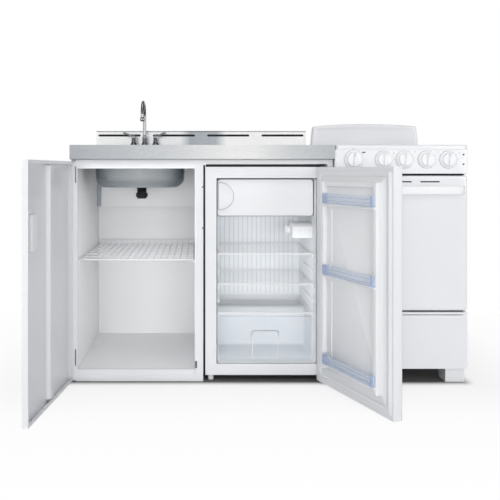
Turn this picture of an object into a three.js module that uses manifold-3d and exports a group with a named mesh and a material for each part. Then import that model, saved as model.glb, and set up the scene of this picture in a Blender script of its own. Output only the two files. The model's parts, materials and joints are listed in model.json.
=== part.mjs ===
// Kitchenette unit: a steel cabinet with a stainless counter, bar sink and faucet, a built-in
// refrigerator under the right half, and a free-standing 20 inch electric range with the hob beside it.
// Millimetres, +X right, +Y back, +Z up. The origin is on the floor under the cabinet's divider.

import * as THREE from "three";
import { mergeVertices } from "three/addons/utils/BufferGeometryUtils.js";
import Module from "manifold-3d";

const wasm = await Module();
wasm.setup();

// ---------------------------------------------------------------- driving dimensions

const GAP = 0.3; // left between pieces that touch

// counter and cabinet
const COUNTER_HALF = 508; // 40 inch wide counter
const COUNTER_TOP = 914; // 36 inch worktop height
const APRON_H = 54;
const APRON_FRONT = -324; // 25.5 inch deep counter, centred on the origin
const COUNTER_BACK = 324;
const COUNTER_SLAB = 24;
const SKIRT_T = 10;
const CABINET_HALF = 506;
const FRAME_FRONT = -292;
const FRAME_T = 20;
const SIDE_T = 20;
const OPENING_LEFT = -483;
const DIVIDER_LEFT = -29;
const DIVIDER_RIGHT = 4;
const SINK_RAIL_BOTTOM = 824;
const FRIDGE_RAIL_BOTTOM = 841;
const BOTTOM_RAIL_TOP = 45;
const BOTTOM_RAIL_STEP = 28;
const CABINET_TOP = COUNTER_TOP - APRON_H - GAP;
const CABINET_DEPTH_BACK = 320;
const BACK_SHEET = { recess: 14, thick: 8 }; // how far it lies in from the sides' rear edges
const FLOOR_BOARD = { drop: 2, thick: 15 }; // below the bottom rail's top
const REAR_PANEL = { front: 250, bottom: 646, sheet: 2, flange: 16, margin: 17 };
const DOOR_CATCH = { x: -47, half: 16, magnetHalf: 10 };
const AIR_WAY_HALF = 480; // the slot in the counter under the backsplash

// backsplash
const SPLASH_HALF = 497;
const SPLASH_FRONT = 306;
const SPLASH_TOP = 1004;
const SPLASH_T = 2;
const VENT = { length: 200, height: 10, pitch: 258, count: 4, z: 982 };

// sink and drain
const BOWL = { left: -439, right: -70, front: -200, back: 140, bottom: 746, corner: 62 };
const BOWL_RIM = 15;
const DRAIN = { x: -254.5, y: -30 };
const DRAIN_HOLE_R = 18;
const TAIL_BOTTOM = 697;

// faucet
const FAUCET = { x: -263, y: 235, spread: 50.8, hubTop: 960 };
const SPOUT = { tube: 7.5, radius: 65, top: 1126, tipZ: 1035 };
const LEVER = { reach: 101, rise: 19 };

// shelf of wire under the sink
const SHELF = { z: 469, front: -266, back: 300, wire: 4, wires: 18, rails: 7, lip: 22 };

// sink door, hung on pivots at its left edge
const SINK_DOOR = { width: 500, bottom: 5, top: 851, thick: 20, sheet: 2, restDeg: 96 };
const SINK_PIVOT = { x: -502, y: -296 };
const PULL = { from: 390, to: 445, bottom: 551, top: 675, depth: 15, wall: 2.5, corner: 12, flange: 7 };
const STIFFENER = { mid: 250, sheet: 1.5, end: 16 };

// refrigerator
const FRIDGE = { left: 12, right: 480, front: -285, back: 200, bottom: 22, top: 830 };
const CAVITY = { left: 56, right: 445, bottom: 66, top: 786, back: 150, lowBack: 10, step: 230 };
const BAY = { front: 62, top: 200, floor: 28, side: 18 };
const COMPRESSOR = { x: 300, y: 130 };
const LINER_T = 2;
const SHELF_LEVELS = [254, 310, 368, 428, 487]; // tops of what lies on each pair of ledges
const GLASS_T = 4;
const LEDGE = { out: 12, h: 6 };
const INNER_FRONT = -240; // shelves, drawer and freezer door stay behind the door racks
const FREEZER = { bottom: 636, top: 782, wall: 3, doorT: 14 };
const FREEZER_PIVOT = { x: 433, y: -233 };

// refrigerator door
const FRIDGE_DOOR = { bottom: 8, top: 829, thick: 36, restDeg: 111 };
const FRIDGE_PIVOT = { x: 465, y: -311 };
const RACKS = [
  { name: "top", z: 696 },
  { name: "middle", z: 433 },
  { name: "bottom", z: 104 },
];
const RACK = { from: 82, to: 396, height: 37, reach: 58, wall: 2.4 };

// range
const RANGE = { left: 512, right: 1016, front: -324, back: 300, bottom: 57 };
const RANGE_BODY_FRONT = -300;
const PANEL = { bottom: 804, top: 898 };
const OVEN_DOOR = { bottom: 280, top: 796 };
const DRAWER_FRONT = { bottom: 57.5, top: 274 };
const OVEN = { left: 545, right: 983, bottom: 300, top: 780, back: 220, wall: 3 };
const KNOB_Z = 858;
const BURNER_KNOBS = { hob_knob_1: 694, hob_knob_2: 774, hob_knob_3: 858.5, hob_knob_4: 941 };
const OVEN_KNOB_X = 580;
const BURNERS = {
  coil_front_left: { x: 643, y: -150, r: 98, turns: 4.25 },
  coil_rear_left: { x: 643, y: 118, r: 75, turns: 3.25 },
  coil_front_right: { x: 886, y: -150, r: 75, turns: 3.25 },
  coil_rear_right: { x: 886, y: 118, r: 75, turns: 3.25 },
};
const COIL = { tube: 4, inner: 20, z: 912, recess: 902, margin: 12 };
const LEG = 74; // side of each square leg block
const BACKGUARD = { front: 250, deep: 45, corner: 1021, bow: 1033, cornerR: 8, taper: 9 };
const OVEN_SLOT = { pitch: 107, half: 37, bottom: 770.5, top: 775.5, deep: 9 };
const HANDLE = { half: 237, reach: 44, thick: 9, foot: 34, bottom: 724.5, top: 757.5 };

// ---------------------------------------------------------------- materials

const finish = (color, roughness, metalness, opacity = 1) =>
  new THREE.MeshStandardMaterial({ color, roughness, metalness, opacity, transparent: opacity < 1 });

const enamel = finish(0xf1f2f4, 0.35, 0);
const stainless = finish(0xb9bdc1, 0.3, 1);
const chrome = finish(0xd8dcdf, 0.08, 1);
const blackPlastic = finish(0x1b1d1f, 0.45, 0);
const blackSteel = finish(0x242628, 0.5, 0.4);
const zincSteel = finish(0x9a9fa4, 0.4, 0.9);
const whitePlastic = finish(0xf3f4f6, 0.4, 0);
const liner = finish(0xf4f6f8, 0.45, 0);
const rubber = finish(0xe6e8ea, 0.8, 0);
const glass = finish(0xdfeaec, 0.05, 0, 0.35);
const clearPlastic = finish(0xe4ebf0, 0.12, 0, 0.45);
const bluePlastic = finish(0x9db9e6, 0.15, 0, 0.6);
const elementBlack = finish(0x2a2a2c, 0.6, 0.3);

// ---------------------------------------------------------------- solids

// A closed three.js geometry as a solid that can be joined and cut.
function solidOf(geometry) {
  const bare = geometry.index ? geometry.toNonIndexed() : geometry.clone();
  bare.deleteAttribute("normal");
  bare.deleteAttribute("uv");
  const merged = mergeVertices(bare, 1e-4);
  return new wasm.Manifold(
    new wasm.Mesh({
      numProp: 3,
      vertProperties: merged.attributes.position.array,
      triVerts: new Uint32Array(merged.index.array),
    }),
  );
}

function geometryOf(solid) {
  const mesh = solid.getMesh();
  const geometry = new THREE.BufferGeometry();
  geometry.setAttribute("position", new THREE.BufferAttribute(new Float32Array(mesh.vertProperties), 3));
  geometry.setIndex(new THREE.BufferAttribute(new Uint32Array(mesh.triVerts), 1));
  geometry.computeVertexNormals();
  return geometry;
}

const join = (...solids) => solids.flat().reduce((all, one) => all.add(one));
const cut = (solid, ...tools) => tools.flat().reduce((rest, tool) => rest.subtract(tool), solid);

function box(x0, x1, y0, y1, z0, z1) {
  const geometry = new THREE.BoxGeometry(x1 - x0, y1 - y0, z1 - z0);
  return solidOf(geometry.translate((x0 + x1) / 2, (y0 + y1) / 2, (z0 + z1) / 2));
}

// Where an outline's two directions and its extrusion point, for each axis that it can run along.
const AXES = {
  x: [new THREE.Vector3(0, 1, 0), new THREE.Vector3(0, 0, 1), new THREE.Vector3(1, 0, 0)],
  y: [new THREE.Vector3(1, 0, 0), new THREE.Vector3(0, 0, 1), new THREE.Vector3(0, -1, 0)],
  z: [new THREE.Vector3(1, 0, 0), new THREE.Vector3(0, 1, 0), new THREE.Vector3(0, 0, 1)],
};

// An outline (points or a Shape) in the plane across an axis, run along that axis between two values.
function prism(outline, axis, from, to, curveSegments = 2) {
  const shape = Array.isArray(outline)
    ? new THREE.Shape(outline.map(([u, v]) => new THREE.Vector2(u, v)))
    : outline;
  const options = { depth: to - from, steps: 1, bevelEnabled: false, curveSegments };
  const [u, v, w] = AXES[axis];
  const start = w.clone().multiplyScalar(axis === "y" ? -to : from);
  const place = new THREE.Matrix4().makeBasis(u, v, w).setPosition(start);
  return solidOf(new THREE.ExtrudeGeometry(shape, options).applyMatrix4(place));
}

function roundRect(u0, u1, v0, v1, r) {
  const shape = new THREE.Shape();
  shape.moveTo(u0 + r, v0);
  shape.lineTo(u1 - r, v0);
  shape.absarc(u1 - r, v0 + r, r, -Math.PI / 2, 0, false);
  shape.lineTo(u1, v1 - r);
  shape.absarc(u1 - r, v1 - r, r, 0, Math.PI / 2, false);
  shape.lineTo(u0 + r, v1);
  shape.absarc(u0 + r, v1 - r, r, Math.PI / 2, Math.PI, false);
  shape.lineTo(u0, v0 + r);
  shape.absarc(u0 + r, v0 + r, r, Math.PI, Math.PI * 1.5, false);
  return shape;
}

function circle(r) {
  const shape = new THREE.Shape();
  shape.absarc(0, 0, r, 0, Math.PI * 2, false);
  return shape;
}

// A turned piece: profile of [radius, height] from the foot of the axis up the outside to its top.
function turned(profile, segments = 16) {
  const points = profile.map(([r, h]) => new THREE.Vector2(r, h));
  return solidOf(new THREE.LatheGeometry(points, segments).rotateX(Math.PI / 2));
}

const cylinder = (x, y, z0, z1, r, segments = 16) =>
  turned([[0, z0], [r, z0], [r, z1], [0, z1]], segments).translate([x, y, 0]);

// A round bar along a curve.
function tube(curve, r, steps, sides) {
  const options = { steps, extrudePath: curve, bevelEnabled: false, curveSegments: (sides + 1) / 2 };
  return solidOf(new THREE.ExtrudeGeometry(circle(r), options));
}

// A flat grid of square wire, as one layer with its gaps left open.
function grille(x0, x1, y0, y1, z0, z1, wire, columns, rows) {
  const lines = (from, to, count) => {
    const pitch = (to - from - wire) / count;
    return range(count + 1).flatMap((i) => [from + i * pitch, from + i * pitch + wire]);
  };
  const xs = lines(x0, x1, columns);
  const ys = lines(y0, y1, rows);
  const solid = (i, j) =>
    i >= 0 && j >= 0 && i < xs.length - 1 && j < ys.length - 1 && !(i % 2 && j % 2);
  const quads = [];
  for (const i of range(xs.length - 1))
    for (const j of range(ys.length - 1)) {
      if (!solid(i, j)) continue;
      const [a, b, c, d] = [[xs[i], ys[j]], [xs[i + 1], ys[j]], [xs[i + 1], ys[j + 1]], [xs[i], ys[j + 1]]];
      quads.push([[...a, z1], [...b, z1], [...c, z1], [...d, z1]]);
      quads.push([[...d, z0], [...c, z0], [...b, z0], [...a, z0]]);
      const edges = [[a, b, i, j - 1], [b, c, i + 1, j], [c, d, i, j + 1], [d, a, i - 1, j]];
      for (const [p, q, ni, nj] of edges)
        if (!solid(ni, nj)) quads.push([[...p, z0], [...q, z0], [...q, z1], [...p, z1]]);
    }
  const triangles = quads.flatMap(([p, q, r, t]) => [p, q, r, p, r, t]).flat();
  const geometry = new THREE.BufferGeometry();
  geometry.setAttribute("position", new THREE.Float32BufferAttribute(triangles, 3));
  return solidOf(geometry);
}

// Rings of points joined side by side, closed by a fan at the first and the last ring.
function loft(rings) {
  const count = rings[0].length;
  const positions = rings.flat(2);
  const index = [];
  for (let r = 0; r + 1 < rings.length; r++)
    for (let i = 0; i < count; i++) {
      const a = r * count + i;
      const b = r * count + ((i + 1) % count);
      index.push(a, b, a + count, b, b + count, a + count);
    }
  const last = (rings.length - 1) * count;
  for (let i = 1; i + 1 < count; i++) {
    index.push(0, i + 1, i);
    index.push(last, last + i, last + i + 1);
  }
  const geometry = new THREE.BufferGeometry();
  geometry.setAttribute("position", new THREE.Float32BufferAttribute(positions, 3));
  geometry.setIndex(index);
  return solidOf(geometry);
}

const slotRow = (axisZ, from, to) =>
  range(VENT.count).map((i) => {
    const centre = (i - (VENT.count - 1) / 2) * VENT.pitch;
    const half = VENT.length / 2;
    const h = VENT.height / 2;
    return prism(roundRect(centre - half, centre + half, axisZ - h, axisZ + h, h * 0.98), "y", from, to);
  });

function range(count) {
  return Array.from({ length: count }, (_, i) => i);
}

const kitchenette = new THREE.Group();

function addPart(name, solid, material, parent = kitchenette) {
  const mesh = new THREE.Mesh(geometryOf(solid), material);
  mesh.name = name;
  parent.add(mesh);
}

// ---------------------------------------------------------------- counter, backsplash, sink, drain

function counterSolid() {
  const h = COUNTER_HALF;
  const shell = cut(
    box(-h, h, APRON_FRONT, COUNTER_BACK, COUNTER_TOP - APRON_H, COUNTER_TOP),
    box(-h + SKIRT_T, h - SKIRT_T, APRON_FRONT + SKIRT_T, COUNTER_BACK + 1, 0, COUNTER_TOP - COUNTER_SLAB),
  );
  const { left, right, front, back, corner } = BOWL;
  const hole = roundRect(left - 2, right + 2, front - 2, back + 2, corner + 2);
  const shanks = [-1, 0, 1].map((side) =>
    cylinder(FAUCET.x + side * FAUCET.spread, FAUCET.y, 800, 1000, 13, 12),
  );
  const airWay = box(-AIR_WAY_HALF, AIR_WAY_HALF, SPLASH_FRONT + 5, COUNTER_BACK - 5, 800, 1000);
  return cut(shell, prism(hole, "z", 800, 1000), shanks, airWay);
}

// An upside-down channel of sheet with four slots: it passes the air from behind the refrigerator.
function backsplashSolid() {
  const z0 = COUNTER_TOP + GAP;
  const outer = box(-SPLASH_HALF, SPLASH_HALF, SPLASH_FRONT, COUNTER_BACK, z0, SPLASH_TOP);
  const hollow = box(
    -SPLASH_HALF + SPLASH_T,
    SPLASH_HALF - SPLASH_T,
    SPLASH_FRONT + SPLASH_T,
    COUNTER_BACK - SPLASH_T,
    z0 - 1,
    SPLASH_TOP - SPLASH_T,
  );
  return cut(outer, hollow, slotRow(VENT.z, SPLASH_FRONT - 1, SPLASH_FRONT + SPLASH_T + 1));
}

// Points round a rectangle with rounded corners, inset from the bowl's outline at one height.
function bowlRing(inset, corner, z, steps = 4) {
  const r = Math.max(corner, 1);
  const x0 = BOWL.left + inset + r;
  const x1 = BOWL.right - inset - r;
  const y0 = BOWL.front + inset + r;
  const y1 = BOWL.back - inset - r;
  const centres = [[x1, y0], [x1, y1], [x0, y1], [x0, y0]];
  return centres.flatMap(([cx, cy], k) =>
    range(steps + 1).map((i) => {
      const angle = ((k - 1) * Math.PI) / 2 + (i / steps) * (Math.PI / 2);
      return [cx + r * Math.cos(angle), cy + r * Math.sin(angle), z];
    }),
  );
}

// A pressed bowl: up the outside, over the rim and down the inside, with a rounded foot.
function bowlSolid() {
  const sheet = 1.6;
  const foot = 40;
  const slope = 6;
  const c = BOWL.corner;
  const arc = [90, 60, 30, 0];
  const footRings = (thick) =>
    arc.map((deg) => {
      const a = (deg * Math.PI) / 180;
      const r = foot - thick;
      const inset = slope + foot - r * Math.cos(a);
      return bowlRing(inset, c - inset * 0.5, BOWL.bottom + foot - r * Math.sin(a));
    });
  const rimZ = COUNTER_TOP + GAP;
  const outside = [...footRings(0), bowlRing(0, c, rimZ)];
  const rim = [
    bowlRing(-BOWL_RIM, c + BOWL_RIM, rimZ),
    bowlRing(-BOWL_RIM, c + BOWL_RIM, rimZ + 2),
    bowlRing(sheet, c - sheet, rimZ + 2),
  ];
  const inside = footRings(sheet).reverse();
  const hole = cylinder(DRAIN.x, DRAIN.y, BOWL.bottom - 5, BOWL.bottom + 5, DRAIN_HOLE_R);
  return cut(loft([...outside, ...rim, ...inside]), hole);
}

function strainerSolid() {
  const z = BOWL.bottom + 1.6 + GAP;
  const cup = DRAIN_HOLE_R - 1.2;
  const profile = [[0, z - 12], [cup, z - 12], [cup, z], [30, z], [27, z + 2], [cup - 2, z + 1]];
  const body = turned([...profile, [cup - 2, z - 10], [0, z - 10]], 14);
  const holes = range(5).map((i) => {
    const a = (i / 5) * Math.PI * 2;
    return cylinder(9.5 * Math.cos(a), 9.5 * Math.sin(a), z - 20, z - 6, 3, 5);
  });
  return cut(body, holes).translate([DRAIN.x, DRAIN.y, 0]);
}

// The black tail: a threaded body under the bowl, its slip nut and the open end below.
function tailpieceSolid() {
  const top = BOWL.bottom - GAP;
  const bore = DRAIN_HOLE_R - 0.7;
  const outside = [[bore, TAIL_BOTTOM], [19, TAIL_BOTTOM], [24.5, TAIL_BOTTOM + 6], [24.5, TAIL_BOTTOM + 24]];
  const upper = [[20.5, TAIL_BOTTOM + 26], [20.5, top - 4], [27, top - 4], [27, top], [bore, top]];
  return turned([...outside, ...upper, [bore, TAIL_BOTTOM]], 16).translate([DRAIN.x, DRAIN.y, 0]);
}

// ---------------------------------------------------------------- faucet

// A base plate with three bells, and a threaded shank with its nut under each.
function faucetBaseSolid() {
  const z = COUNTER_TOP + GAP;
  const deep = 27;
  const half = FAUCET.spread + deep;
  const plate = prism(roundRect(-half, half, -deep, deep, deep - 0.5), "z", z, z + 6, 3);
  const bell = [[0, z + 1], [26, z + 5], [23, z + 11], [15, z + 22], [9.5, z + 35], [9.5, FAUCET.hubTop]];
  const bells = [-1, 0, 1].map((side) =>
    turned([...bell, [0, FAUCET.hubTop]], 10).translate([side * FAUCET.spread, 0, 0]),
  );
  const shanks = [-1, 0, 1].map((side) => {
    const x = side * FAUCET.spread;
    return join(cylinder(x, 0, 855, z + 1, 8, 8), cylinder(x, 0, 872, 882, 17, 6));
  });
  return join(plate, bells, shanks).translate([FAUCET.x, FAUCET.y, 0]);
}

// Half a circle in the YZ plane, from the top of the riser over to the top of the nozzle.
class Bend extends THREE.Curve {
  constructor(radius, z) {
    super();
    Object.assign(this, { radius, z });
  }
  getPoint(t, target = new THREE.Vector3()) {
    const a = Math.PI * t;
    return target.set(0, this.radius * (Math.cos(a) - 1), this.z + this.radius * Math.sin(a));
  }
}

// A gooseneck: up the riser, over in a half circle and down to the nozzle.
function spoutSolid() {
  const { tube: r, radius, top, tipZ } = SPOUT;
  const arcZ = top - radius;
  const foot = FAUCET.hubTop;
  const bend = tube(new Bend(radius, arcZ), r, 12, 10);
  const collar = [[0, foot + GAP], [11, foot + GAP], [9, foot + 14], [r, foot + 18]];
  const riser = turned([...collar, [r, arcZ + 2], [0, arcZ + 2]], 12);
  const aerator = [[0, tipZ], [9.5, tipZ], [10, tipZ + 12], [r, tipZ + 18]];
  const nozzle = turned([...aerator, [r, arcZ + 2], [0, arcZ + 2]], 12);
  return join(bend, riser, nozzle.translate([0, -2 * radius, 0]));
}

// A hub with a lever that rises outwards.
function leverSolid(side) {
  const z = FAUCET.hubTop + GAP;
  const hub = turned([[0, z], [9.5, z], [10.5, z + 12], [8, z + 20], [0, z + 23]], 14);
  const reach = LEVER.reach - FAUCET.spread;
  const blade = [[0, z + 8], [reach - 4, z + LEVER.rise + 8], [reach, z + LEVER.rise + 12],
    [reach - 4, z + LEVER.rise + 17], [0, z + 17]];
  const flat = prism(side > 0 ? blade : blade.map(([x, h]) => [-x, h]).reverse(), "y", -5.5, 5.5);
  return join(hub, flat);
}

function addFaucet() {
  addPart("faucet_base", faucetBaseSolid(), chrome);
  const spout = new THREE.Group();
  spout.position.set(FAUCET.x, FAUCET.y, 0);
  kitchenette.add(spout);
  addPart("faucet_spout", spoutSolid(), chrome, spout);
  for (const [name, side] of [["hot_handle", -1], ["cold_handle", 1]]) {
    const handle = new THREE.Group();
    handle.position.set(FAUCET.x + side * FAUCET.spread, FAUCET.y, 0);
    kitchenette.add(handle);
    addPart(name, leverSolid(side), chrome, handle);
  }
}

addPart("countertop", counterSolid(), stainless);
addPart("backsplash", backsplashSolid(), stainless);
addPart("sink_bowl", bowlSolid(), stainless);
addPart("sink_strainer", strainerSolid(), stainless);
addPart("drain_tailpiece", tailpieceSolid(), blackPlastic);
addFaucet();

// ---------------------------------------------------------------- cabinet

const FRAME_BACK = FRAME_FRONT + FRAME_T;
const INNER_FACE = -CABINET_HALF + SIDE_T;

// Stiles and rails in one plane; the bottom rail is set back above its step.
function frontFrameSolid() {
  const h = CABINET_HALF;
  const bar = (x0, x1, z0, z1) => box(x0, x1, FRAME_FRONT, FRAME_BACK, z0, z1);
  const mid = (DIVIDER_LEFT + DIVIDER_RIGHT) / 2;
  const setBack = FRAME_FRONT + 4;
  const [stepLeft, stepRight] = [OPENING_LEFT - 1, DIVIDER_LEFT + 1];
  const step = box(stepLeft, stepRight, FRAME_FRONT - 1, setBack, BOTTOM_RAIL_STEP, BOTTOM_RAIL_TOP + 1);
  return join(
    bar(-h, OPENING_LEFT, 0, CABINET_TOP),
    bar(-h, mid, SINK_RAIL_BOTTOM, CABINET_TOP),
    bar(mid, h, FRIDGE_RAIL_BOTTOM, CABINET_TOP),
    bar(DIVIDER_LEFT, DIVIDER_RIGHT, 0, CABINET_TOP),
    bar(FRIDGE.right + 4, h, 0, CABINET_TOP),
    cut(bar(-h, mid, 0, BOTTOM_RAIL_TOP), step),
  );
}

// A side of the cabinet, or its divider, with the ledge that carries the wire shelf.
function wallSolid(x0, x1, ledgeSide = 0) {
  const wall = box(x0, x1, FRAME_BACK + GAP, CABINET_DEPTH_BACK, 0, CABINET_TOP);
  if (!ledgeSide) return wall;
  const top = SHELF.z - SHELF.wire - GAP;
  const face = ledgeSide > 0 ? x1 : x0;
  const [a, b] = ledgeSide > 0 ? [face - 1, face + 7] : [face - 7, face + 1];
  return join(wall, box(a, b, SHELF.front - 5, SHELF.back, top - 8, top));
}

const BACK_SHEET_FRONT = CABINET_DEPTH_BACK - BACK_SHEET.recess;

// The white panel behind the bowl, flanged back to the cabinet's back sheet.
function rearPanelSolid() {
  const { front, bottom, sheet, flange, margin } = REAR_PANEL;
  const left = OPENING_LEFT + margin;
  const right = DIVIDER_LEFT - GAP;
  const back = BACK_SHEET_FRONT - GAP;
  const face = box(left, right, front, front + sheet, bottom, CABINET_TOP);
  const flanges = [
    box(left, left + sheet, front, back, bottom, CABINET_TOP),
    box(right - sheet, right, front, back, bottom, CABINET_TOP),
    box(left, right, front, front + flange, bottom, bottom + sheet),
  ];
  return join(face, flanges);
}

// Wires front to back and rods across in one layer, with the wires turned up at the back.
function wireShelfSolid() {
  const { z, front, back, wire, wires, rails, lip } = SHELF;
  const left = INNER_FACE + 3;
  const right = DIVIDER_LEFT - 3;
  const sheet = grille(left, right, front, back, z - wire, z, wire, wires - 1, rails - 1);
  const ends = range(wires).map((i) => {
    const x = left + (i / (wires - 1)) * (right - wire - left);
    return box(x, x + wire, back - wire, back, z - 1, z + lip);
  });
  return join(sheet, ends);
}

// A magnet in its holder, under the rail at the sink door's free edge.
function doorCatchSolid() {
  const { x, half, magnetHalf } = DOOR_CATCH;
  const y = FRAME_BACK + GAP;
  const z = SINK_RAIL_BOTTOM;
  return join(
    box(x - half, x + half, y, FRAME_BACK + 18, z + 8, z + 22),
    box(x - magnetHalf, x + magnetHalf, y, FRAME_BACK + 14, z - 4, z + 9),
  );
}

function addCabinet() {
  addPart("cabinet_front_frame", frontFrameSolid(), enamel);
  addPart("cabinet_left_side", wallSolid(-CABINET_HALF, INNER_FACE, 1), enamel);
  addPart("cabinet_divider", wallSolid(DIVIDER_LEFT, DIVIDER_RIGHT, -1), enamel);
  addPart("cabinet_right_side", wallSolid(CABINET_HALF - SIDE_T, CABINET_HALF), enamel);
  const left = INNER_FACE + GAP;
  const right = DIVIDER_LEFT - GAP;
  const y = BACK_SHEET_FRONT;
  const floorTop = BOTTOM_RAIL_TOP - FLOOR_BOARD.drop;
  const floor = box(left, right, FRAME_BACK + GAP, y - GAP, floorTop - FLOOR_BOARD.thick, floorTop);
  addPart("cabinet_floor", floor, enamel);
  addPart("cabinet_back", box(left, right, y, y + BACK_SHEET.thick, 0, CABINET_TOP), enamel);
  addPart("cabinet_rear_panel", rearPanelSolid(), enamel);
  addPart("wire_shelf", wireShelfSolid(), whitePlastic);
  addPart("door_catch", doorCatchSolid(), zincSteel);
}

// ---------------------------------------------------------------- sink door

// Drawn closed, from the pivot line: the pivot is the origin, x runs along the door.
const DOOR_X0 = -2.5;
const DOOR_OUT = -17;
const DOOR_IN = 3;
const PIN_R = 3;

// A tray of sheet: outer face, four walls and a lip all round the inside.
function sinkDoorSolid() {
  const { width, bottom, top, sheet } = SINK_DOOR;
  const x1 = DOOR_X0 + width;
  const lip = 12;
  const tray = cut(
    box(DOOR_X0, x1, DOOR_OUT, DOOR_IN, bottom, top),
    box(DOOR_X0 + sheet, x1 - sheet, DOOR_OUT + sheet, DOOR_IN - sheet, bottom + sheet, top - sheet),
    box(DOOR_X0 + lip, x1 - lip, 0, DOOR_IN + 1, bottom + lip, top - lip),
  );
  const play = 0.5; // round the pull
  const { corner } = PULL;
  const cup = roundRect(PULL.from - play, PULL.to + play, PULL.bottom - play, PULL.top + play, corner);
  const sockets = [
    cylinder(0, 0, bottom - 1, bottom + 8, PIN_R + 0.5, 12),
    cylinder(0, 0, top - 8, top + 1, PIN_R + 0.5, 12),
  ];
  return cut(tray, prism(cup, "y", DOOR_OUT - 1, DOOR_OUT + sheet + 1), sockets);
}

// A hat-shaped channel down the middle of the tray.
function stiffenerSolid() {
  const { mid, sheet: t, end } = STIFFENER;
  const back = DOOR_OUT + SINK_DOOR.sheet + GAP;
  const high = DOOR_IN - SINK_DOOR.sheet - GAP;
  // half the section, from its middle out to the edge of its flange, and back along the other face
  const inside = [[16, high - t], [19, back], [34, back]];
  const outside = [[34, back + t], [21, back + t], [18, high]];
  const mirrored = (points) => points.map(([x, y]) => [mid - x, y]).reverse();
  const shifted = (points) => points.map(([x, y]) => [mid + x, y]);
  const outline = [...mirrored(inside), ...shifted(inside), ...shifted(outside), ...mirrored(outside)];
  return prism(outline, "z", SINK_DOOR.bottom + end, SINK_DOOR.top - end);
}

// A cup pressed in from the outside, so that fingers reach behind its edge.
function pullSolid() {
  const { depth, wall, flange } = PULL;
  const face = DOOR_OUT;
  const outline = (grow, corner) =>
    roundRect(PULL.from - grow, PULL.to + grow, PULL.bottom - grow, PULL.top + grow, corner);
  const cup = prism(outline(0, PULL.corner), "y", face - 1, face + depth);
  const rim = prism(outline(flange, PULL.corner + 6), "y", face - 2.3, face - GAP);
  const hollow = prism(outline(-wall, PULL.corner - 2), "y", face - 5, face + depth - wall);
  return cut(join(cup, rim), hollow);
}

// A plate on the front frame with the pin that the door turns on.
function sinkHingeSolid(plateZ, pinFrom, pinTo) {
  const { x, y } = SINK_PIVOT;
  const plate = box(x - 3.5, x + 14, y - 6, FRAME_FRONT - GAP, plateZ, plateZ + 3);
  return join(plate, cylinder(x, y, pinFrom, pinTo, PIN_R, 12));
}

function addSinkDoor() {
  const door = new THREE.Group();
  door.position.set(SINK_PIVOT.x, SINK_PIVOT.y, 0);
  door.rotation.z = THREE.MathUtils.degToRad(-SINK_DOOR.restDeg);
  kitchenette.add(door);
  addPart("sink_door_panel", sinkDoorSolid(), enamel, door);
  addPart("sink_door_stiffener", stiffenerSolid(), enamel, door);
  addPart("sink_door_pull", pullSolid(), whitePlastic, door);
  const { bottom, top } = SINK_DOOR;
  addPart("sink_hinge_top", sinkHingeSolid(top + 1, top - 6, top + 2), zincSteel);
  addPart("sink_hinge_bottom", sinkHingeSolid(bottom - 4, bottom - 3, bottom + 6), zincSteel);
}

addCabinet();
addSinkDoor();

// ---------------------------------------------------------------- refrigerator

// The cavity's outline seen from the side, shrunk by an inset: deep above, short over the compressor.
function cavityOutline(inset) {
  const { bottom, top, back, lowBack, step } = CAVITY;
  const front = FRIDGE.front - 1;
  return [[front, bottom + inset], [lowBack - inset, bottom + inset], [lowBack - inset, step + inset],
    [back - inset, step + inset], [back - inset, top - inset], [front, top - inset]];
}

const cavitySolid = (inset) => prism(cavityOutline(inset), "x", CAVITY.left + inset, CAVITY.right - inset);

// The insulated body: steel outside, foam inside, a bay for the compressor and two front feet.
function fridgeShellSolid() {
  const { left, right, front, back, bottom, top } = FRIDGE;
  const bay = box(left + BAY.side, right - BAY.side, BAY.front, back + 1, BAY.floor, BAY.top);
  const feet = [left + 22, right - 22].map((x) => cylinder(x, front + 24, 0, bottom + 1, 11, 12));
  const backFeet = [left + 22, right - 22].map((x) => cylinder(x, back - 24, 0, bottom + 1, 11, 12));
  return join(cut(box(left, right, front, back, bottom, top), cavitySolid(0), bay), feet, backFeet);
}

// A moulded skin inside the cavity, with a pair of ledges for each shelf.
function linerSolid() {
  const front = box(0, 500, FRIDGE.front - 5, FRIDGE.front + GAP, 0, 900);
  const skin = cut(cavitySolid(GAP), cavitySolid(GAP + LINER_T), front);
  const wall = GAP + LINER_T / 2;
  const ledges = SHELF_LEVELS.flatMap((top) => {
    const z = top - GLASS_T - GAP;
    const ledge = (x0, x1) => box(x0, x1, INNER_FRONT, CAVITY.lowBack - 10, z - LEDGE.h, z);
    return [
      ledge(CAVITY.left + wall, CAVITY.left + wall + LEDGE.out),
      ledge(CAVITY.right - wall - LEDGE.out, CAVITY.right - wall),
    ];
  });
  return join(skin, ledges);
}

const SHELF_LEFT = CAVITY.left + 4;
const SHELF_RIGHT = CAVITY.right - 4;

// A glass plate with a deeper front edge.
function glassShelfSolid(top) {
  const plate = box(SHELF_LEFT, SHELF_RIGHT, INNER_FRONT, CAVITY.back - 6, top - GLASS_T, top);
  const trim = box(SHELF_LEFT, SHELF_RIGHT, INNER_FRONT - 3, INNER_FRONT + 6, top - GLASS_T, top + 3);
  return join(plate, trim);
}

function drawerSolid() {
  const x0 = CAVITY.left + 6;
  const x1 = CAVITY.right - 6;
  const z0 = CAVITY.bottom + GAP * 2 + LINER_T;
  const z1 = 243;
  const y1 = CAVITY.lowBack - 8;
  const wall = 2.5;
  const tray = cut(
    box(x0, x1, INNER_FRONT, y1, z0, z1),
    box(x0 + wall, x1 - wall, INNER_FRONT + wall, y1 - wall, z0 + wall, z1 + 1),
  );
  const frame = cut(
    box(197, 302, INNER_FRONT - 3, INNER_FRONT + 1, 76, 183),
    box(201, 298, INNER_FRONT - 4, INNER_FRONT, 70, 179),
  );
  return join(tray, frame);
}

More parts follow.
